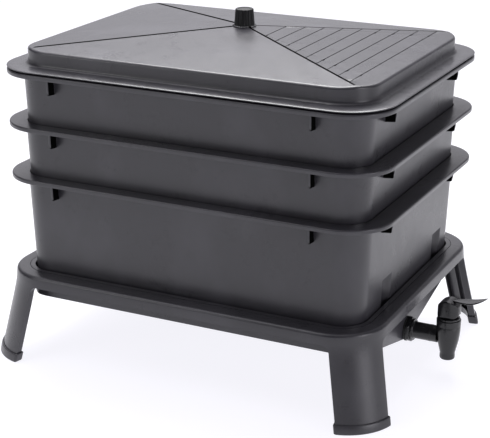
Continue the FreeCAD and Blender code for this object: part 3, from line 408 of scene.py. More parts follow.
TAP_X, TAP_Z = 0.33366, 0.060
TAIL_FROM, NUT_FROM, NUT_TO, COLLAR_TO = 0.2617, 0.2717, 0.2787, 0.2817
TAIL_ROUND, COLLAR_ROUND, TUBE_ROUND, TUBE_BORE, NUT_FLAT = 0.013, 0.0165, 0.0125, 0.0085, 0.0175
BODY_TOP, CHAMBER, SEAT_BORE, OUTLET_BORE = 0.028, 0.011, 0.0065, 0.008
BONNET_ROUND, BONNET_HEAD, BONNET_PLUG, STEM_HOLE = 0.0165, 0.003, 0.008, 0.0043
TUBE_TO, BAND_FROM, BAND_TO, BAND_RISE = 0.3185, 0.3058, 0.309, 0.0003
SHOULDER, OUTLET_ROUND, OUTLET_LOW = 0.018, 0.0109, -0.035
SEAT_TOP, SEAT_LOW = -0.0095, -0.0135
OUTLET_RIBS, RIB_HIGH = 16, 0.00035
NUT_REACH, NUT_SLOPE, NUT_LAND, THREAD_GAP = 0.0203, 0.0189, 0.0176, 0.00005

black = moulded_plastic("black_nylon", (0.007, 0.007, 0.008, 1), (0.014, 0.014, 0.0155, 1), 0.2,
                        grain=3000, scuffs=0.1)

rubber = Finish("black_rubber")
rubber_dust = rubber.noise(900, 3)
rubber.set(Base_Color=rubber.blend(rubber_dust, (0.012, 0.012, 0.012, 1), (0.03, 0.03, 0.03, 1)),
           Roughness=0.72 + rubber_dust * 0.15).bump(rubber_dust, 0.00005)

steel = Finish("stainless_steel")
drawn = steel.noise(300, 3, steel.stretch((1, 1, 30)))
steel.set(Base_Color=steel.blend(drawn, (0.42, 0.42, 0.43, 1), (0.62, 0.62, 0.63, 1)),
          Metallic=1.0, Roughness=0.22 + drawn * 0.2).bump(drawn, 0.00002)


def once_round(steps):
    """Evenly stepped bearings of a full turn."""
    return np.linspace(0, 2 * math.pi, steps + 1)[:-1]


def turned(profile, centre, steps=96, relief=0.0, ring=False, along_x=False):
    """A turned shape: each (radius, height) of the profile is carried round an upright axis through
    the centre. Relief, if any, is added to the radius. A ring's last row joins its first, and
    otherwise both ends are capped. Laid along x, heights run along x and bearing 0 points up."""
    angle = once_round(steps)
    radius, height = np.array(profile).T
    reach = radius[:, None] + relief + 0 * angle
    parts = [reach * np.cos(angle), reach * np.sin(angle), np.broadcast_to(height[:, None], reach.shape)]
    points = np.stack(parts[::-1] if along_x else parts, -1) + np.array(centre)
    return points, grid_faces(*reach.shape, wrap_rows=True) if ring else closed_faces(*reach.shape)


def rounded(radius, height, edge, out, up, steps=3):
    """A quarter-round edge on a profile from the face at the height to the side at the radius,
    or the other way about when out is -1; up is 1 for a top edge and -1 for a bottom edge."""
    rows = [(radius - edge * (1 - s), height - up * edge * (1 - c)) for c, s in arc(steps)]
    return rows if out > 0 else rows[::-1]


tail = [(TUBE_BORE, TAIL_FROM), (TAIL_ROUND - 0.0006, TAIL_FROM), (TAIL_ROUND, TAIL_FROM + 0.0006),
        (TAIL_ROUND, NUT_TO)]
tail += rounded(COLLAR_ROUND, NUT_TO, 0.0006, 1, -1)
tail += rounded(COLLAR_ROUND, COLLAR_TO, 0.0008, -1, 1)
tail += [(TUBE_ROUND + 0.0012, COLLAR_TO), (TUBE_ROUND + 0.0004, COLLAR_TO + 0.0008),
         (TUBE_ROUND, COLLAR_TO + 0.002), (TUBE_ROUND, BAND_FROM),
         (TUBE_ROUND + BAND_RISE, BAND_FROM + 0.0004), (TUBE_ROUND + BAND_RISE, BAND_TO - 0.0004),
         (TUBE_ROUND, BAND_TO), (TUBE_ROUND, TUBE_TO), (TUBE_BORE, TUBE_TO)]
barrel = [(CHAMBER, BODY_TOP)] + rounded(SHOULDER, BODY_TOP, 0.001, 1, 1)
barrel += [(0.0179, 0.0192), (0.0176, 0.0188), (0.0176, 0.0176), (0.0178, 0.0172), (0.0174, 0.008),
           (0.0168, 0.002), (0.0158, -0.005), (0.0143, -0.012), (0.0126, -0.019), (0.0113, -0.0245)]
barrel += [(OUTLET_ROUND, z) for z in (-0.0262, -0.027, -0.029, -0.0315)]
barrel += rounded(OUTLET_ROUND, OUTLET_LOW, 0.0018, -1, -1, 4)
barrel += [(OUTLET_BORE + 0.0003, OUTLET_LOW), (OUTLET_BORE, OUTLET_LOW + 0.0003), (OUTLET_BORE, SEAT_LOW),
           (SEAT_BORE, SEAT_LOW), (SEAT_BORE, SEAT_TOP), (CHAMBER, SEAT_TOP)]
rib_angle = once_round(9 * OUTLET_RIBS)
barrel_radius, barrel_height = np.array(barrel).T
on_outlet = (barrel_radius > 0.0105) & (barrel_height < -0.0265) & (barrel_height > -0.0335)
ribs = on_outlet[:, None] * RIB_HIGH * np.clip(np.cos(OUTLET_RIBS * rib_angle), 0, 1)
piece("tap_barrel", [turned(tail, (0, 0, TAP_Z), ring=True, along_x=True),
                     turned(barrel, (TAP_X, 0, TAP_Z), len(rib_angle), ribs, ring=True)],
      black, "base", "tap_body", crease=35)

nut_rows = [(TAIL_ROUND + THREAD_GAP, NUT_FROM), (NUT_LAND, NUT_FROM), (NUT_SLOPE, NUT_FROM + 0.0006),
            (NUT_REACH, NUT_FROM + 0.0014), (NUT_REACH, NUT_TO - 0.0014), (NUT_SLOPE, NUT_TO - 0.0006),
            (NUT_LAND, NUT_TO), (TAIL_ROUND + THREAD_GAP, NUT_TO)]
nut_angle = once_round(96)
hexagon = NUT_FLAT / np.cos(nut_angle % (math.pi / 3) - math.pi / 6)
flats = np.minimum(hexagon[None] - np.array(nut_rows)[:, :1], 0)
piece("lock_nut", [turned(nut_rows, (0, 0, TAP_Z), len(nut_angle), flats, True, True)],
      black, "base", "tap_lock_nut", crease=25)

bonnet_rows = [(STEM_HOLE, BODY_TOP - BONNET_PLUG), (CHAMBER - 0.0001, BODY_TOP - BONNET_PLUG),
               (CHAMBER - 0.0001, BODY_TOP), (BONNET_ROUND - 0.0004, BODY_TOP),
               (BONNET_ROUND, BODY_TOP + 0.0004)]
bonnet_rows += rounded(BONNET_ROUND, BODY_TOP + BONNET_HEAD, 0.0008, -1, 1)
bonnet_rows += [(STEM_HOLE, BODY_TOP + BONNET_HEAD)]
piece("bonnet", [turned(bonnet_rows, (TAP_X, 0, TAP_Z), ring=True)],
      black, "base", "tap_bonnet")

coat("tap_gasket", rubber.material)
coat("tap_seal", rubber.material)
coat("tap_spring", steel.material)
coat("tap_stem", black)

# Tap lever. A black nylon moulding on a steel pin through the stem: a domed hood with two cheeks
# either side of the stem, whose undersides are the cam that rides on the bonnet, and a thumb
# blade dished on top. The pin's ends are blackened.

PIN_RISE = 0.013
PIN_Z = TAP_Z + BODY_TOP + BONNET_HEAD + PIN_RISE
HOOD_END, HOOD_SIDE, HOOD_BLUNT, HOOD_EDGE, CHEEK_FROM, CAP_FROM = 0.0168, 0.0129, 2.7, 0.0014, 0.0047, 0.008
HOOD_CROWN, CAM_ROUND, CAM_SHIFT = 0.0142, 0.0126, 0.006
END_WALL_HALF, END_WALL_IN, HEEL_LOW, TOE_LOW = 0.0062, 0.0141, -0.0118, -0.0070
BLADE_FROM, BLADE_TO, BLADE_HALF, BLADE_MIDDLE = 0.003, 0.0569, 0.0106, 0.0131
BLADE_SLOPE, CURL_FROM, CURL = 0.07, 0.028, 10.2
BLADE_CROWN, BLADE_DISH, BLADE_THICK = 0.0009, 0.0010, 0.0017
OVAL_STEPS, WALL_ROWS = 32, 9


def dome(x):
    """The hood's crown: half an oval above the pin, carried across."""
    return HOOD_CROWN * np.sqrt(np.clip(1 - (x / HOOD_END) ** 2, 0, None))


def hood_cap():
    """The crown over both cheeks, in rings from the middle out to a blunt oval, with a rounded
    edge, and closed underneath."""
    bearing = once_round(72)
    oval = (np.abs(np.cos(bearing) / HOOD_END) ** HOOD_BLUNT
            + np.abs(np.sin(bearing) / HOOD_SIDE) ** HOOD_BLUNT) ** (-1 / HOOD_BLUNT)
    rows = []
    for share in (0.02, 0.3, 0.55, 0.75, 0.88):
        x, y = share * oval * np.cos(bearing), share * oval * np.sin(bearing)
        rows.append((x, y, dome(x)))
    for c, s in arc(5):
        reach = oval - HOOD_EDGE * (1 - s)
        x, y = reach * np.cos(bearing), reach * np.sin(bearing)
        rows.append((x, y, dome(x) - HOOD_EDGE * (1 - c)))
    low = np.minimum(CAP_FROM - 0.001, dome(x) - HOOD_EDGE - 0.001)
    rows += [(x, y, low), (0.97 * x, 0.97 * y, np.minimum(CAP_FROM - 0.0012, low)), (0.5 * x, 0.5 * y, low)]
    points = np.array([np.stack(row, -1) for row in rows])
    return points, closed_faces(*points.shape[:2])


def blunt(steps, side_power, rise_power):
    """A blunt oval's points: the cosine and the sine of each bearing, each to a power below 1."""
    angle = once_round(steps)
    side = np.sign(np.cos(angle)) * np.abs(np.cos(angle)) ** side_power
    return side, np.sign(np.sin(angle)) * np.abs(np.sin(angle)) ** rise_power


def cheek(side):
    """One cheek, as blunt rectangular sections along x: outwards to the hood's oval, inwards to
    the stem's slot, up into the crown and down to the heel and the cam's arc."""
    end = HOOD_END * (1 - ((CHEEK_FROM + 0.0012) / HOOD_SIDE) ** HOOD_BLUNT) ** (1 / HOOD_BLUNT)
    x = -end * np.cos(np.linspace(0, math.pi, 41))
    oval = np.clip(1 - (np.abs(x) / HOOD_END) ** HOOD_BLUNT, 0, None) ** (1 / HOOD_BLUNT)
    outer = HOOD_SIDE * oval - 0.0001
    top = np.minimum(dome(x) - 0.0004, CAP_FROM + 0.001)
    cam = -np.sqrt(np.clip(CAM_ROUND ** 2 - np.clip(x - CAM_SHIFT, 0, None) ** 2, 0, None))
    low = cam + np.clip((-x - end + 0.0015) / 0.0015, 0, 1) ** 2 * 0.0008
    wave_y, wave_z = blunt(OVAL_STEPS, 0.3, 0.3)
    y = (outer + CHEEK_FROM)[:, None] / 2 + (outer - CHEEK_FROM)[:, None] / 2 * wave_y
    z = (top + low)[:, None] / 2 + (top - low)[:, None] / 2 * wave_z
    return np.stack([x[:, None] + 0 * y, side * y, z], -1), closed_faces(*y.shape)


def end_wall(side):
    """The wall that joins the cheeks at one end, in blunt sections along y, kept under the dome."""
    y = np.linspace(-END_WALL_HALF, END_WALL_HALF, WALL_ROWS)[:, None]
    outer = HOOD_END * (1 - (np.abs(y) / HOOD_SIDE) ** HOOD_BLUNT) ** (1 / HOOD_BLUNT) - 0.0002
    low = HEEL_LOW if side < 0 else TOE_LOW
    wave_x, wave_z = blunt(OVAL_STEPS, 0.3, 0.3)
    x = (outer + END_WALL_IN) / 2 + (outer - END_WALL_IN) / 2 * wave_x
    z = (CAP_FROM + low) / 2 + (CAP_FROM - low) / 2 * wave_z
    points = np.stack([side * x, y + 0 * x, np.minimum(z, dome(x) - 0.0003)], -1)
    return points, closed_faces(*x.shape)


def blade():
    """Sections along x. Their half width follows a leaf, their middle rises towards the tip, and
    they are blunt ovals with a top dished and an underside crowned by the square of y."""
    share = (1 - np.cos(np.linspace(0, math.pi, 49))) / 2
    x = BLADE_FROM + (BLADE_TO - BLADE_FROM) * share
    leaf = np.sin(math.pi * share ** 1.12) ** 0.7
    middle = BLADE_MIDDLE + BLADE_SLOPE * x + CURL * np.clip(x - CURL_FROM, 0, None) ** 2
    across, rise = blunt(48, 0.7, 0.5)
    crown = np.where(rise < 0, -BLADE_CROWN, -BLADE_DISH) * (1 - across ** 2)
    y = BLADE_HALF * leaf[:, None] * across
    z = middle[:, None] + (BLADE_THICK * rise + crown) * leaf[:, None] ** 0.8
    return np.stack([x[:, None] + 0 * y, y, z], -1), grid_faces(*y.shape)


lever_parts = (hood_cap(), cheek(-1), cheek(1), end_wall(-1), end_wall(1), blade())
pin_centre = np.array([TAP_X, 0, PIN_Z])
piece("lever", [(points + pin_centre, faces) for points, faces in lever_parts],
      black, "tap_handle", "tap_lever", crease=40)

dark_steel = Finish("blackened_steel")
pitting = dark_steel.noise(1500, 3)
dark_steel.set(Base_Color=dark_steel.blend(pitting, (0.010, 0.010, 0.011, 1), (0.03, 0.03, 0.032, 1)),
               Metallic=0.4, Roughness=0.42 + pitting * 0.2).bump(pitting, 0.00002)
coat("tap_lever_pin", dark_steel.material)

# Trays. Each is one thin-walled charcoal moulding that tapers downwards so that trays nest: a
# flange with a turned-down lip, gusset plates under it, a perforated floor, and four shallow round
# flutes in the end walls whose tops are the ledges on which the turned tray above stands.

RIM_END, RIM_SIDE, RIM_CORNER = 0.300, 0.2245, 0.0686
WALL_END, WALL_SIDE, WALL_CORNER = 0.273, 0.204, 0.044
TRAY_WALL, TRAY_FLOOR, TRAY_DEEP, SLOPE = 0.0024, 0.003, 0.185, 0.04
RIM_THICK, LIP, LIP_INNER, LIP_OUTER = 0.003, 0.0066, 0.0007, 0.0009
LEDGE = 0.1064
FLUTE_HALF, FLUTE_DEEP = 0.015, 0.007
FLUTE_ROUND = (FLUTE_HALF ** 2 + FLUTE_DEEP ** 2) / (2 * FLUTE_DEEP)
FLUTE_CENTRE = WALL_END - SLOPE * TRAY_DEEP - FLUTE_DEEP + FLUTE_ROUND
FLUTES = (-0.090, 0.119)
FLUTE_SOFT = 0.0042
GUSSET_REACH, GUSSET_TALL, GUSSET_THICK = 0.0155, 0.0295, 0.003
GUSSET_LONG, GUSSET_SHORT = 0.203, 0.127
POCKET_DEEP, NEAR_GUSSET = 0.036, 0.005
PANEL_END, PANEL_SIDE = 0.236, 0.160
HOLE, PITCH, HOLES_LONG, HOLES_SHORT = 0.0045, 0.038, 13, 9
LOWER_RIM, STEP = 0.2835, TRAY_DEEP - LEDGE
FOOT, RIM_FILLET, RIM_BEND, MOUTH, INNER_FOOT, PANEL_CORNER = 0.003, 0.0025, 0.002, 0.0014, 0.004, 0.004


def tray_rows():
    """The tray's cut section as rows of (end, side, corner, z, skin), z down from the rim's top.
    Wall rows shrink by the slope times their depth; skin is 1 on the flutes' outer face, -1 on
    their inner face and 0 elsewhere."""
    def wall(z, out=0.0, skin=0):
        shift = SLOPE * z + out
        return WALL_END + shift, WALL_SIDE + shift, WALL_CORNER + shift, z, skin

    def rim(z, inward=0.0):
        return RIM_END - inward, RIM_SIDE - inward, RIM_CORNER - inward, z, 0

    bottom, floor_top = -TRAY_DEEP, -TRAY_DEEP + TRAY_FLOOR
    rows = [(PANEL_END, PANEL_SIDE, PANEL_CORNER, bottom, 0)]
    for c, s in arc(5):
        rows.append(wall(bottom + FOOT - FOOT * c, -FOOT + FOOT * s, 1))
    rows += [wall(z, 0, 1) for z in (-0.165, -0.145, -0.125, -LEDGE - TRAY_WALL)]
    rows += [wall(z) for z in (-LEDGE - TRAY_WALL, -0.09, -0.06, -0.03, -0.012)]
    for c, s in arc(4):
        rows.append(wall(-RIM_THICK - RIM_FILLET + RIM_FILLET * s, RIM_FILLET - RIM_FILLET * c))
    rows += [rim(-RIM_THICK, RIM_THICK + 0.0006), rim(-RIM_THICK - 0.0006, RIM_THICK),
             rim(-LIP + LIP_INNER, RIM_THICK), rim(-LIP, RIM_THICK - LIP_INNER),
             rim(-LIP, LIP_OUTER), rim(-LIP + 0.0003, 0.0003), rim(-LIP + LIP_OUTER)]
    for c, s in arc(6):
        rows.append(rim(-RIM_BEND + RIM_BEND * s, RIM_BEND - RIM_BEND * c))
    for c, s in arc(4):
        rows.append(wall(-MOUTH + MOUTH * c, -TRAY_WALL + MOUTH * (1 - s)))
    rows += [wall(z, -TRAY_WALL) for z in (-0.02, -0.05, -0.08, -LEDGE)]
    rows += [wall(z, -TRAY_WALL, -1) for z in (-LEDGE, -0.125, -0.145, -0.165)]
    for c, s in arc(4):
        out = -TRAY_WALL - INNER_FOOT + INNER_FOOT * c
        rows.append(wall(floor_top + INNER_FOOT - INNER_FOOT * s, out, -1))
    rows.append((PANEL_END, PANEL_SIDE, PANEL_CORNER, floor_top, 0))
    return np.array(rows)


def tray_shell():
    """The section carried round the tray. Where a flute is, x is the lesser of the wall's x and
    the flute's: its centre less the root of its radius squared less the offset in y squared.
    The two run into each other softly: where they differ by less than a set length, x is less
    again by the square of what is missing from it, over four times that length."""
    end, side, corner, z, skin = tray_rows().T
    radius = FLUTE_ROUND + np.where(skin < 0, TRAY_WALL, 0.0)
    lowest = WALL_END - SLOPE * (LEDGE + TRAY_WALL)
    wall_x = np.where(skin == 0, lowest, end)
    half = np.arccos(np.clip((FLUTE_CENTRE - wall_x) / radius, -1, 1))
    share = np.linspace(-1.38, 1.38, 23)
    waves = radius[:, None] * np.sin(half[:, None] * share[None])
    plain = np.zeros((len(end), 1))
    before, between, after = (-0.14, -0.118), (-0.06, -0.02, 0.03, 0.08), (0.145,)
    end_y = np.hstack([plain + before, FLUTES[0] + waves, plain + between, FLUTES[1] + waves, plain + after])
    side_x = np.linspace(0, 0.225, 10)
    x, y = round_loop(end, side, corner, side_x, np.radians(np.linspace(0, 90, 19)), end_y)
    for place in FLUTES:
        reach = radius[:, None] ** 2 - (y - place) ** 2
        flute = FLUTE_CENTRE - np.sqrt(np.clip(reach, 0, None))
        apart = np.clip(FLUTE_SOFT - np.abs(np.abs(x) - flute), 0, None)
        depth = np.minimum(np.abs(x), flute) - apart ** 2 / (4 * FLUTE_SOFT)
        x = np.where((skin[:, None] != 0) & (reach > 0), np.sign(x) * depth, x)
    points = np.stack([x, y, np.broadcast_to(z[:, None], x.shape)], -1)
    return points, grid_faces(*x.shape, wrap_rows=True)


def tray_panel():
    """The perforated floor: each cell runs from a round hole to its share of the panel. The
    square's edge point (u, v) and the hole's point at the same bearing are joined."""
    step = np.linspace(-1, 1, 5)[:-1]
    u = np.concatenate([step, 0 * step + 1, -step, 0 * step - 1])
    v = np.concatenate([0 * step - 1, step, 0 * step + 1, -step])
    bearing = np.arctan2(v, u)

    def cells(count, limit):
        centres = (np.arange(count) - (count - 1) / 2) * PITCH
        edges = np.concatenate([[-limit], (centres[1:] + centres[:-1]) / 2, [limit]])
        return centres, edges[:-1], edges[1:]

    cx, left, right = (a[:, None, None] for a in cells(HOLES_LONG, PANEL_END))
    cy, front, back = (a[None, :, None] for a in cells(HOLES_SHORT, PANEL_SIDE))
    edge_x = np.where(u > 0, cx + (right - cx) * u, cx + (cx - left) * u) + 0 * cy
    edge_y = np.where(v > 0, cy + (back - cy) * v, cy + (cy - front) * v) + 0 * cx
    hole_x, hole_y = cx + HOLE * np.cos(bearing) + 0 * cy, cy + HOLE * np.sin(bearing) + 0 * cx
    top, low = -TRAY_DEEP + TRAY_FLOOR, -TRAY_DEEP
    rings = [np.stack([px, py, 0 * px + pz], -1) for px, py, pz in (
        (edge_x, edge_y, low), (hole_x, hole_y, low), (hole_x, hole_y, top), (edge_x, edge_y, top))]
    around = len(bearing)
    points = np.stack(rings, 2).reshape(-1, 4, around, 3)
    faces = np.vstack([grid_faces(4, around, 4 * around * index) for index in range(len(points))])
    return points, faces


def slab(outline, edge, half):
    """A plate: its outline on two levels, and drawn in by the edge's width on the two faces."""
    before, after = np.roll(outline, 1, 0) - outline, np.roll(outline, -1, 0) - outline
    before /= np.linalg.norm(before, axis=1, keepdims=True)
    after /= np.linalg.norm(after, axis=1, keepdims=True)
    turn = np.abs(before[:, :1] * after[:, 1:] - before[:, 1:] * after[:, :1])
    inner = outline + edge * (before + after) / np.clip(turn, 0.3, None)
    rings = [(inner, -half), (outline, edge - half), (outline, half - edge), (inner, half)]
    points = np.array([np.column_stack([ring, np.full(len(ring), level)]) for ring, level in rings])
    return points.reshape(-1, 3), closed_faces(len(rings), len(outline))


def tray_gussets():
    """Eight upright plates from the wall to near the lip, their lower edges rising outwards."""
    top, wall = -RIM_THICK / 2, -TRAY_WALL / 2
    outline = np.array([(wall, top), (GUSSET_REACH, top), (GUSSET_REACH, -0.020),
                        (GUSSET_REACH - 0.0014, -0.0272), (GUSSET_REACH - 0.0026, -0.0286),
                        (wall - 0.001, -0.0006 - GUSSET_TALL)])
    points, faces = slab(outline, 0.0005, GUSSET_THICK / 2)
    reach, z, off = points.T
    shapes = []
    for right in (-1, 1):
        for back in (-1, 1):
            shapes.append((np.stack([right * GUSSET_LONG + off, back * (WALL_SIDE + reach), z], -1), faces))
            shapes.append((np.stack([right * (WALL_END + reach), back * GUSSET_SHORT + off, z], -1), faces))
    return shapes


def pocket_painted_shade(finish):
    """Painted shade on the gussets' sides, where they sit in shade under a rim: near them along a
    wall, beyond the wall but short of their outer edges, and under a rim."""
    x, y, z = finish.axes()
    deep = (LOWER_RIM + 0.002 - z) % STEP - 0.002
    beyond = (abs(x) - WALL_END).above(abs(y) - WALL_SIDE) + deep * SLOPE
    below = finish.ramp(deep, RIM_THICK - 0.0001, RIM_THICK + 0.0003)
    below = below * finish.ramp(deep, POCKET_DEEP, POCKET_DEEP - 0.002)
    near = finish.ramp(abs(abs(x) - GUSSET_LONG), NEAR_GUSSET, NEAR_GUSSET - 0.001)
    near = near.above(finish.ramp(abs(abs(y) - GUSSET_SHORT), NEAR_GUSSET, NEAR_GUSSET - 0.001))
    on_side = finish.ramp(beyond, 0.0006, 0.0012) * finish.ramp(beyond, GUSSET_REACH, GUSSET_REACH - 0.0006)
    return near * on_side * below


# The trays' plastic carries painted shade on the gussets' sides under the rims.
tray_charcoal = moulded_plastic("tray_charcoal_plastic", *CHARCOAL, CHARCOAL_ROUGH, painted_shade=pocket_painted_shade)
tray_shapes = [tray_shell(), tray_panel(), *tray_gussets()]
for node, body, level, way in (("lower_tray", "tray_low", 0, 1), ("middle_tray", "tray_mid", 1, -1),
                              ("upper_tray", "tray_top", 2, 1)):
    way = np.array([way, way, 1])
    lift = np.array([0, 0, LOWER_RIM + level * STEP])
    piece(node + "_moulding", [(points * way + lift, faces) for points, faces in tray_shapes],
          tray_charcoal, body, node)

# Lid. A thin charcoal moulding whose raised deck is a shallow hipped roof: a moulded groove runs
# down each hip and fine grooves cross the right-hand slope. Its brim hangs just clear of the top
# tray's rim on a narrow land, and a rib inside the rim keeps it from sliding.

LID_LEVEL = LOWER_RIM + 2 * STEP
BRIM_LOW, BRIM_TOP = 0.0024, 0.005
DECK_END, DECK_SIDE, DECK_CORNER = 0.2728, 0.1983, 0.0534
APEX, ROOF_RISE, ARRIS, LID_WALL = 0.0514, 0.0234, 0.0035, 0.0026
SEAT, SEAT_RISE = 0.0175, 0.0004
HIP_HALF, HIP_DEEP, HIP_MARGIN = 0.0013, 0.0015, 0.030
SLAT_HALF, SLAT_DEEP, SLAT_PITCH, SLAT_MARGIN, SLATS = 0.00065, 0.0008, 0.0233, 0.0352, 9
SLAT_FLAT, GROOVES_FROM = 0.0004, 0.019
HIP_RATIO = DECK_SIDE / DECK_END
DECK_ROOT, BRIM_ROUND, BRIM_FALL, BRIM_UNDER = 0.005, 0.014, 0.0015, 0.001
LAND_FROM, LAND_TO, LAND_EDGE, RIB_EDGE = 0.017, 0.02, 0.0004, 0.0008
RIB_END, RIB_SIDE, RIB_CORNER, RIB_LOW, BOSS = 0.2694, 0.2004, 0.0404, -0.009, 0.012


def roof(x, y):
    """The four slopes: the apex less the rise times the larger of |x| / end and |y| / side."""
    return APEX - ROOF_RISE * np.maximum(np.abs(x) / DECK_END, np.abs(y) / DECK_SIDE)


def lid_turns(end, side, corner):
    """Corner angles for each row, with a cluster at set distances either side of the hip line.
    A point of the corner lies at distance t from the hip line where the sine of its angle less
    the hip's bearing is (t less the centre's distance) / radius."""
    bearing = math.atan(HIP_RATIO)
    centre = ((side - corner) - HIP_RATIO * (end - corner)) / math.hypot(1, HIP_RATIO)
    spread = np.array([-2.2, -1.3, -0.95, -0.5, 0, 0.5, 0.95, 1.3, 2.2]) * 0.001
    cluster = bearing + np.arcsin(np.clip((spread[None] - centre[:, None]) / corner[:, None], -1, 1))
    low = cluster[:, :1] * np.linspace(0, 1, 8)[None, :-1]
    high = cluster[:, -1:] + (math.pi / 2 - cluster[:, -1:]) * np.linspace(0, 1, 8)[None, 1:]
    return np.hstack([low, cluster, high])


def lid_shell():
    """Rows from the seat's middle out over the roof, down the deck, round the brim and back
    inside to the boss. Roof rows lie on the slopes, less the grooves; arris rows hang a
    quarter round below them."""
    rows = []

    def add(end, side, corner, z, kind):
        rows.append((end, side, corner, z, kind))

    flat, slope, under = 0, 1, 2
    add(SEAT - 0.0006, SEAT - 0.0006, SEAT - 0.0006, APEX + SEAT_RISE, flat)
    add(SEAT, SEAT, SEAT, APEX + SEAT_RISE - 0.0004, flat)
    for radius in (SEAT, GROOVES_FROM - 0.0002, GROOVES_FROM + 0.0002):
        add(radius, radius, radius, 0.0, slope)
    shares = [0.1, 0.14, 0.5, 0.92, 0.99, 1.0]
    for index in range(SLATS):
        place = DECK_END - SLAT_MARGIN - index * SLAT_PITCH
        shifts = (-SLAT_HALF, -SLAT_FLAT, 0, SLAT_FLAT, SLAT_HALF)
        shares += [(place + shift) / (DECK_END - ARRIS) for shift in shifts]
    hip_end = math.hypot(DECK_END, DECK_SIDE) - HIP_MARGIN
    stop = hip_end * math.cos(math.atan(HIP_RATIO)) / (DECK_END - ARRIS)
    shares += [stop, stop * 1.003]
    for share in sorted(shares):
        end, side, corner = (share * (size - ARRIS) for size in (DECK_END, DECK_SIDE, DECK_CORNER))
        add(end, side, corner, 0.0, slope)
    for c, s in arc(6)[1:]:
        inward, drop = ARRIS * (1 - s), ARRIS * (1 - c)
        add(DECK_END - inward, DECK_SIDE - inward, DECK_CORNER - inward, -drop, slope)
    for c, s in arc(6):
        out = DECK_ROOT * (1 - c)
        add(DECK_END + out, DECK_SIDE + out, DECK_CORNER + out, BRIM_TOP + DECK_ROOT * (1 - s), flat)
    brim = [(BRIM_ROUND * (1 - s), BRIM_TOP - BRIM_FALL * (1 - c)) for c, s in arc(9)]
    brim += [(BRIM_UNDER * (1 - c), BRIM_LOW + BRIM_UNDER * (1 - s)) for c, s in arc(3)]
    brim += [(LAND_FROM, BRIM_LOW), (LAND_FROM, LAND_EDGE), (LAND_FROM + LAND_EDGE, 0),
             (LAND_TO - LAND_EDGE, 0), (LAND_TO, LAND_EDGE), (LAND_TO, BRIM_LOW)]
    for inward, z in brim:
        add(RIM_END - inward, RIM_SIDE - inward, RIM_CORNER - inward, z, flat)
    for inward, z in ((0, BRIM_LOW), (0, RIB_LOW + RIB_EDGE), (RIB_EDGE, RIB_LOW),
                      (LID_WALL - RIB_EDGE, RIB_LOW), (LID_WALL, RIB_LOW + RIB_EDGE), (LID_WALL, BRIM_LOW)):
        add(RIB_END - inward, RIB_SIDE - inward, RIB_CORNER - inward, z, flat)
    inner_end, inner_side, inner_corner = DECK_END - LID_WALL, DECK_SIDE - LID_WALL, DECK_CORNER - LID_WALL
    add(inner_end, inner_side, inner_corner, BRIM_LOW, flat)
    for share in (1, 0.97, 0.6, 0.3, 0.1):
        add(share * inner_end, share * inner_side, share * inner_corner, 0.0, under)
    add(BOSS, BOSS, BOSS, 0.0, under)
    add(BOSS, BOSS, BOSS, APEX - LID_WALL - 0.005, flat)
    end, side, corner, z, kind = np.array(rows).T
    side_x = (end - corner)[:, None] * np.linspace(0, 0.9, 7)[None]
    end_y = (side - corner)[:, None] * np.linspace(-0.9, 0.9, 9)[None]
    x, y = round_loop(end, side, corner, side_x, lid_turns(end, side, corner), end_y)
    hip = np.abs(np.abs(y) - HIP_RATIO * np.abs(x)) / math.hypot(1, HIP_RATIO)
    away = np.hypot(x, y)
    top = roof(x, y) + z[:, None]
    in_groove = (away > GROOVES_FROM) & (away < hip_end) & (hip < HIP_HALF - 0.0002)
    top = top - np.where(in_groove, HIP_DEEP, 0.0)
    first = DECK_END - SLAT_MARGIN - SLAT_PITCH * np.arange(SLATS)
    near = np.abs(np.abs(x)[..., None] - first).min(-1)
    facet = (x > 0) & (np.abs(y) < HIP_RATIO * x - HIP_HALF * math.hypot(1, HIP_RATIO) + 1e-5)
    top = top - np.where(facet & (near < SLAT_FLAT + 0.00005), SLAT_DEEP, 0.0)
    height = np.where(kind[:, None] == slope, top, z[:, None])
    height = np.where(kind[:, None] == under, roof(x, y) - LID_WALL, height)
    return np.stack([x, y, height], -1), closed_faces(*x.shape)


def groove_painted_shade(finish):
    """Painted shade in the hip grooves and the slat lines: near a line in plan, and no deeper below
    the slopes than the grooves are. It reaches a little wider on the left, and the small power
    makes it end sharply where the grooves stop."""
    x, y, z = finish.axes()
    along, across = abs(x), abs(y)
    slopes = (along * (1 / DECK_END)).above(across * (1 / DECK_SIDE)) * -ROOF_RISE + (LID_LEVEL + APEX)
    on_top = finish.ramp(z - slopes, -0.0022, -0.0019)
    off_hip = abs(across - along * HIP_RATIO) * (1 / math.hypot(1, HIP_RATIO))
    diagonal = math.hypot(DECK_END, DECK_SIDE)
    spread = finish.ramp(x, 0.002, -0.002) * 0.0014
    hips = finish.ramp(off_hip - spread, HIP_HALF + 0.0009, HIP_HALF + 0.0002)
    hips = hips * finish.ramp(along, (diagonal - HIP_MARGIN) * DECK_END / diagonal, 0.2) ** 0.05
    first = DECK_END - SLAT_MARGIN + SLAT_PITCH / 2
    off_slat = abs((first - x) % SLAT_PITCH - SLAT_PITCH / 2)
    on_slope = finish.ramp(x * HIP_RATIO - across, 0.0015, 0.0019)
    on_slats = finish.ramp(x, first - SLATS * SLAT_PITCH - 0.0005, first - SLATS * SLAT_PITCH)
    on_slats = on_slats * finish.ramp(x, first + 0.0005, first)
    slats = finish.ramp(off_slat, SLAT_HALF + 0.0003, SLAT_HALF - 0.0002) * on_slope * on_slats
    return hips.above(slats * 0.93) * on_top


# The lid's plastic carries painted shade in the hip grooves and the slat lines.
lid_charcoal = moulded_plastic("lid_charcoal_plastic", *CHARCOAL, CHARCOAL_ROUGH, painted_shade=groove_painted_shade)
lid_points, lid_faces = lid_shell()
piece("lid_moulding", [(lid_points + np.array([0, 0, LID_LEVEL]), lid_faces)], lid_charcoal, "cover", "lid",
      crease=28)

# Knob. A tapered grip moulded in black plastic with ridges round its side, drawn down on the lid's
# seat by a stainless screw and washer from below.

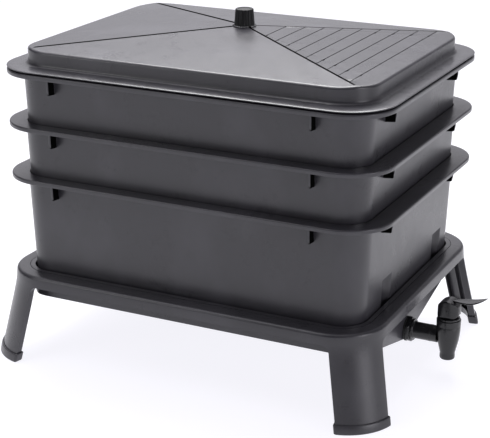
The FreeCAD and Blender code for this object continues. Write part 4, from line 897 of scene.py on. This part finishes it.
KNOB_FOOT, KNOB_CROWN, KNOB_TALL, KNOB_EDGE, KNOB_HEEL = 0.015, 0.0134, 0.024, 0.0016, 0.0005
RIDGES, RIDGE_DEEP = 18, 0.062

knob_bearings = once_round(RIDGES * 12)
knob_rows = [(KNOB_FOOT - 0.0004, 0), (KNOB_FOOT, KNOB_HEEL)]
knob_rows += [(KNOB_FOOT + (KNOB_CROWN - KNOB_FOOT) * t, KNOB_HEEL + (KNOB_TALL - KNOB_EDGE - KNOB_HEEL) * t)
              for t in (0.05, 0.5, 0.93, 1.0)]
knob_rows += rounded(KNOB_CROWN, KNOB_TALL, KNOB_EDGE, -1, 1, 5)[1:]
knob_rows += [(0.010, KNOB_TALL - 0.0001), (0.0094, KNOB_TALL - 0.0008), (0.004, KNOB_TALL - 0.0004)]
ridge = np.clip(np.cos(knob_bearings * RIDGES), 0, 1) ** 0.7 * RIDGE_DEEP
fade = np.array([0, 0, 1, 1, 1, 0.8, 0.3, 0.1, 0, 0, 0, 0, 0, 0])
hollows = -fade[:, None] * ridge[None] * np.array(knob_rows)[:, :1]
knob_black = moulded_plastic("knob_plastic", (0.006, 0.006, 0.0065, 1), (0.012, 0.012, 0.013, 1), 0.5,
                             grain=3000, scuffs=0.1, shine=0.3)
piece("knob_grip", [turned(knob_rows, (0, 0, LID_LEVEL + APEX + SEAT_RISE), len(knob_bearings), hollows)],
      knob_black, "cover", "lid_knob", crease=40)
coat("lid_knob_washer", steel.material)
coat("lid_knob_screw", steel.material)

# Studio. The wormery stands on a pale floor that glows softly. A wide key lamp hangs high behind
# it, a weak one stands near in front on the left, and the air glows in soft lobes, the brightest
# low on the right. The camera looks from the right front corner and a little above.

TURN, TILT, LENS = math.radians(26.25), math.radians(19.52), 107.7
EYE = Vector((0.9388, -1.9020, 0.9419))
GLOWS = [((-0.55, 0.55, 0.63), 8, 0.75), ((-0.41, 0.85, 0.33), 8, 0.72), ((0.45, 0.85, 0.28), 8, 0.35),
         ((0, 0, 1), 5, 0.9), ((0.97, -0.2, 0.14), 35, 6.5), ((-0.42, -0.33, 0.85), 30, 2.6)]
FLOOR_GLOW, FLOOR_HALF = 0.88, 15

sheet = bpy.data.meshes.new("floor")
sheet.from_pydata([(a * FLOOR_HALF, b * FLOOR_HALF, 0) for a, b in ((-1, -1), (1, -1), (1, 1), (-1, 1))],
                  [], [(0, 1, 2, 3)])
floor = bpy.data.objects.new("floor", sheet)
bpy.context.scene.collection.objects.link(floor)
paper = Finish("pale_floor")
paper.set(Base_Color=paper.blend(paper.noise(3, 2), (0.20, 0.20, 0.20, 1), (0.22, 0.22, 0.22, 1)),
          Roughness=0.9, Emission_Color=(0.98, 0.975, 1.035, 1), Emission_Strength=FLOOR_GLOW)
sheet.materials.append(paper.material)

world = bpy.data.worlds.new("studio_air")
world.use_nodes = True
bpy.context.scene.world = world
air = Nodes(world.node_tree)
gaze = air.node("ShaderNodeTexCoord").outputs["Generated"]
sky = 0.0
for axis, sharpness, strength in GLOWS:
    facing = air.node("ShaderNodeVectorMath", {"operation": "DOT_PRODUCT"})
    air.feed(facing.inputs[0], gaze)
    air.feed(facing.inputs[1], Vector(axis).normalized())
    sky = Signal(air.tree, facing.outputs["Value"]).above(0.0) ** sharpness * strength + sky
background = world.node_tree.nodes["Background"]
background.inputs["Color"].default_value = (1.0, 0.985, 1.05, 1)
air.feed(background.inputs["Strength"], sky)


def soft_lamp(name, place, aim, wide, tall, power):
    """A rectangular lamp that faces a point and can't be seen itself."""
    data = bpy.data.lights.new(name, "AREA")
    data.shape = "RECTANGLE"
    data.size = wide
    data.size_y = tall
    data.energy = power
    thing = bpy.data.objects.new(name, data)
    thing.location = place
    thing.rotation_euler = (Vector(aim) - Vector(place)).to_track_quat("-Z", "Y").to_euler()
    thing.visible_camera = False
    bpy.context.scene.collection.objects.link(thing)


soft_lamp("near_lamp", (-1.3, -1.7, 0.9), (-0.1, 0, 0.3), 0.9, 0.7, 7)
soft_lamp("key_lamp", (-0.3, 0.65, 1.95), (0, 0, 0.45), 1.4, 1.4, 66)

camera = bpy.data.objects.new("camera", bpy.data.cameras.new("camera"))
bpy.context.scene.collection.objects.link(camera)
camera.data.sensor_fit = "HORIZONTAL"
camera.data.sensor_width = 36
camera.data.lens = LENS
camera.data.clip_end = 50
camera.matrix_world = (Matrix.Translation(EYE) @ Matrix.Rotation(TURN, 4, "Z")
                       @ Matrix.Rotation(math.pi / 2 - TILT, 4, "X"))
bpy.context.scene.camera = camera
bpy.context.scene.view_settings.view_transform = "Standard"
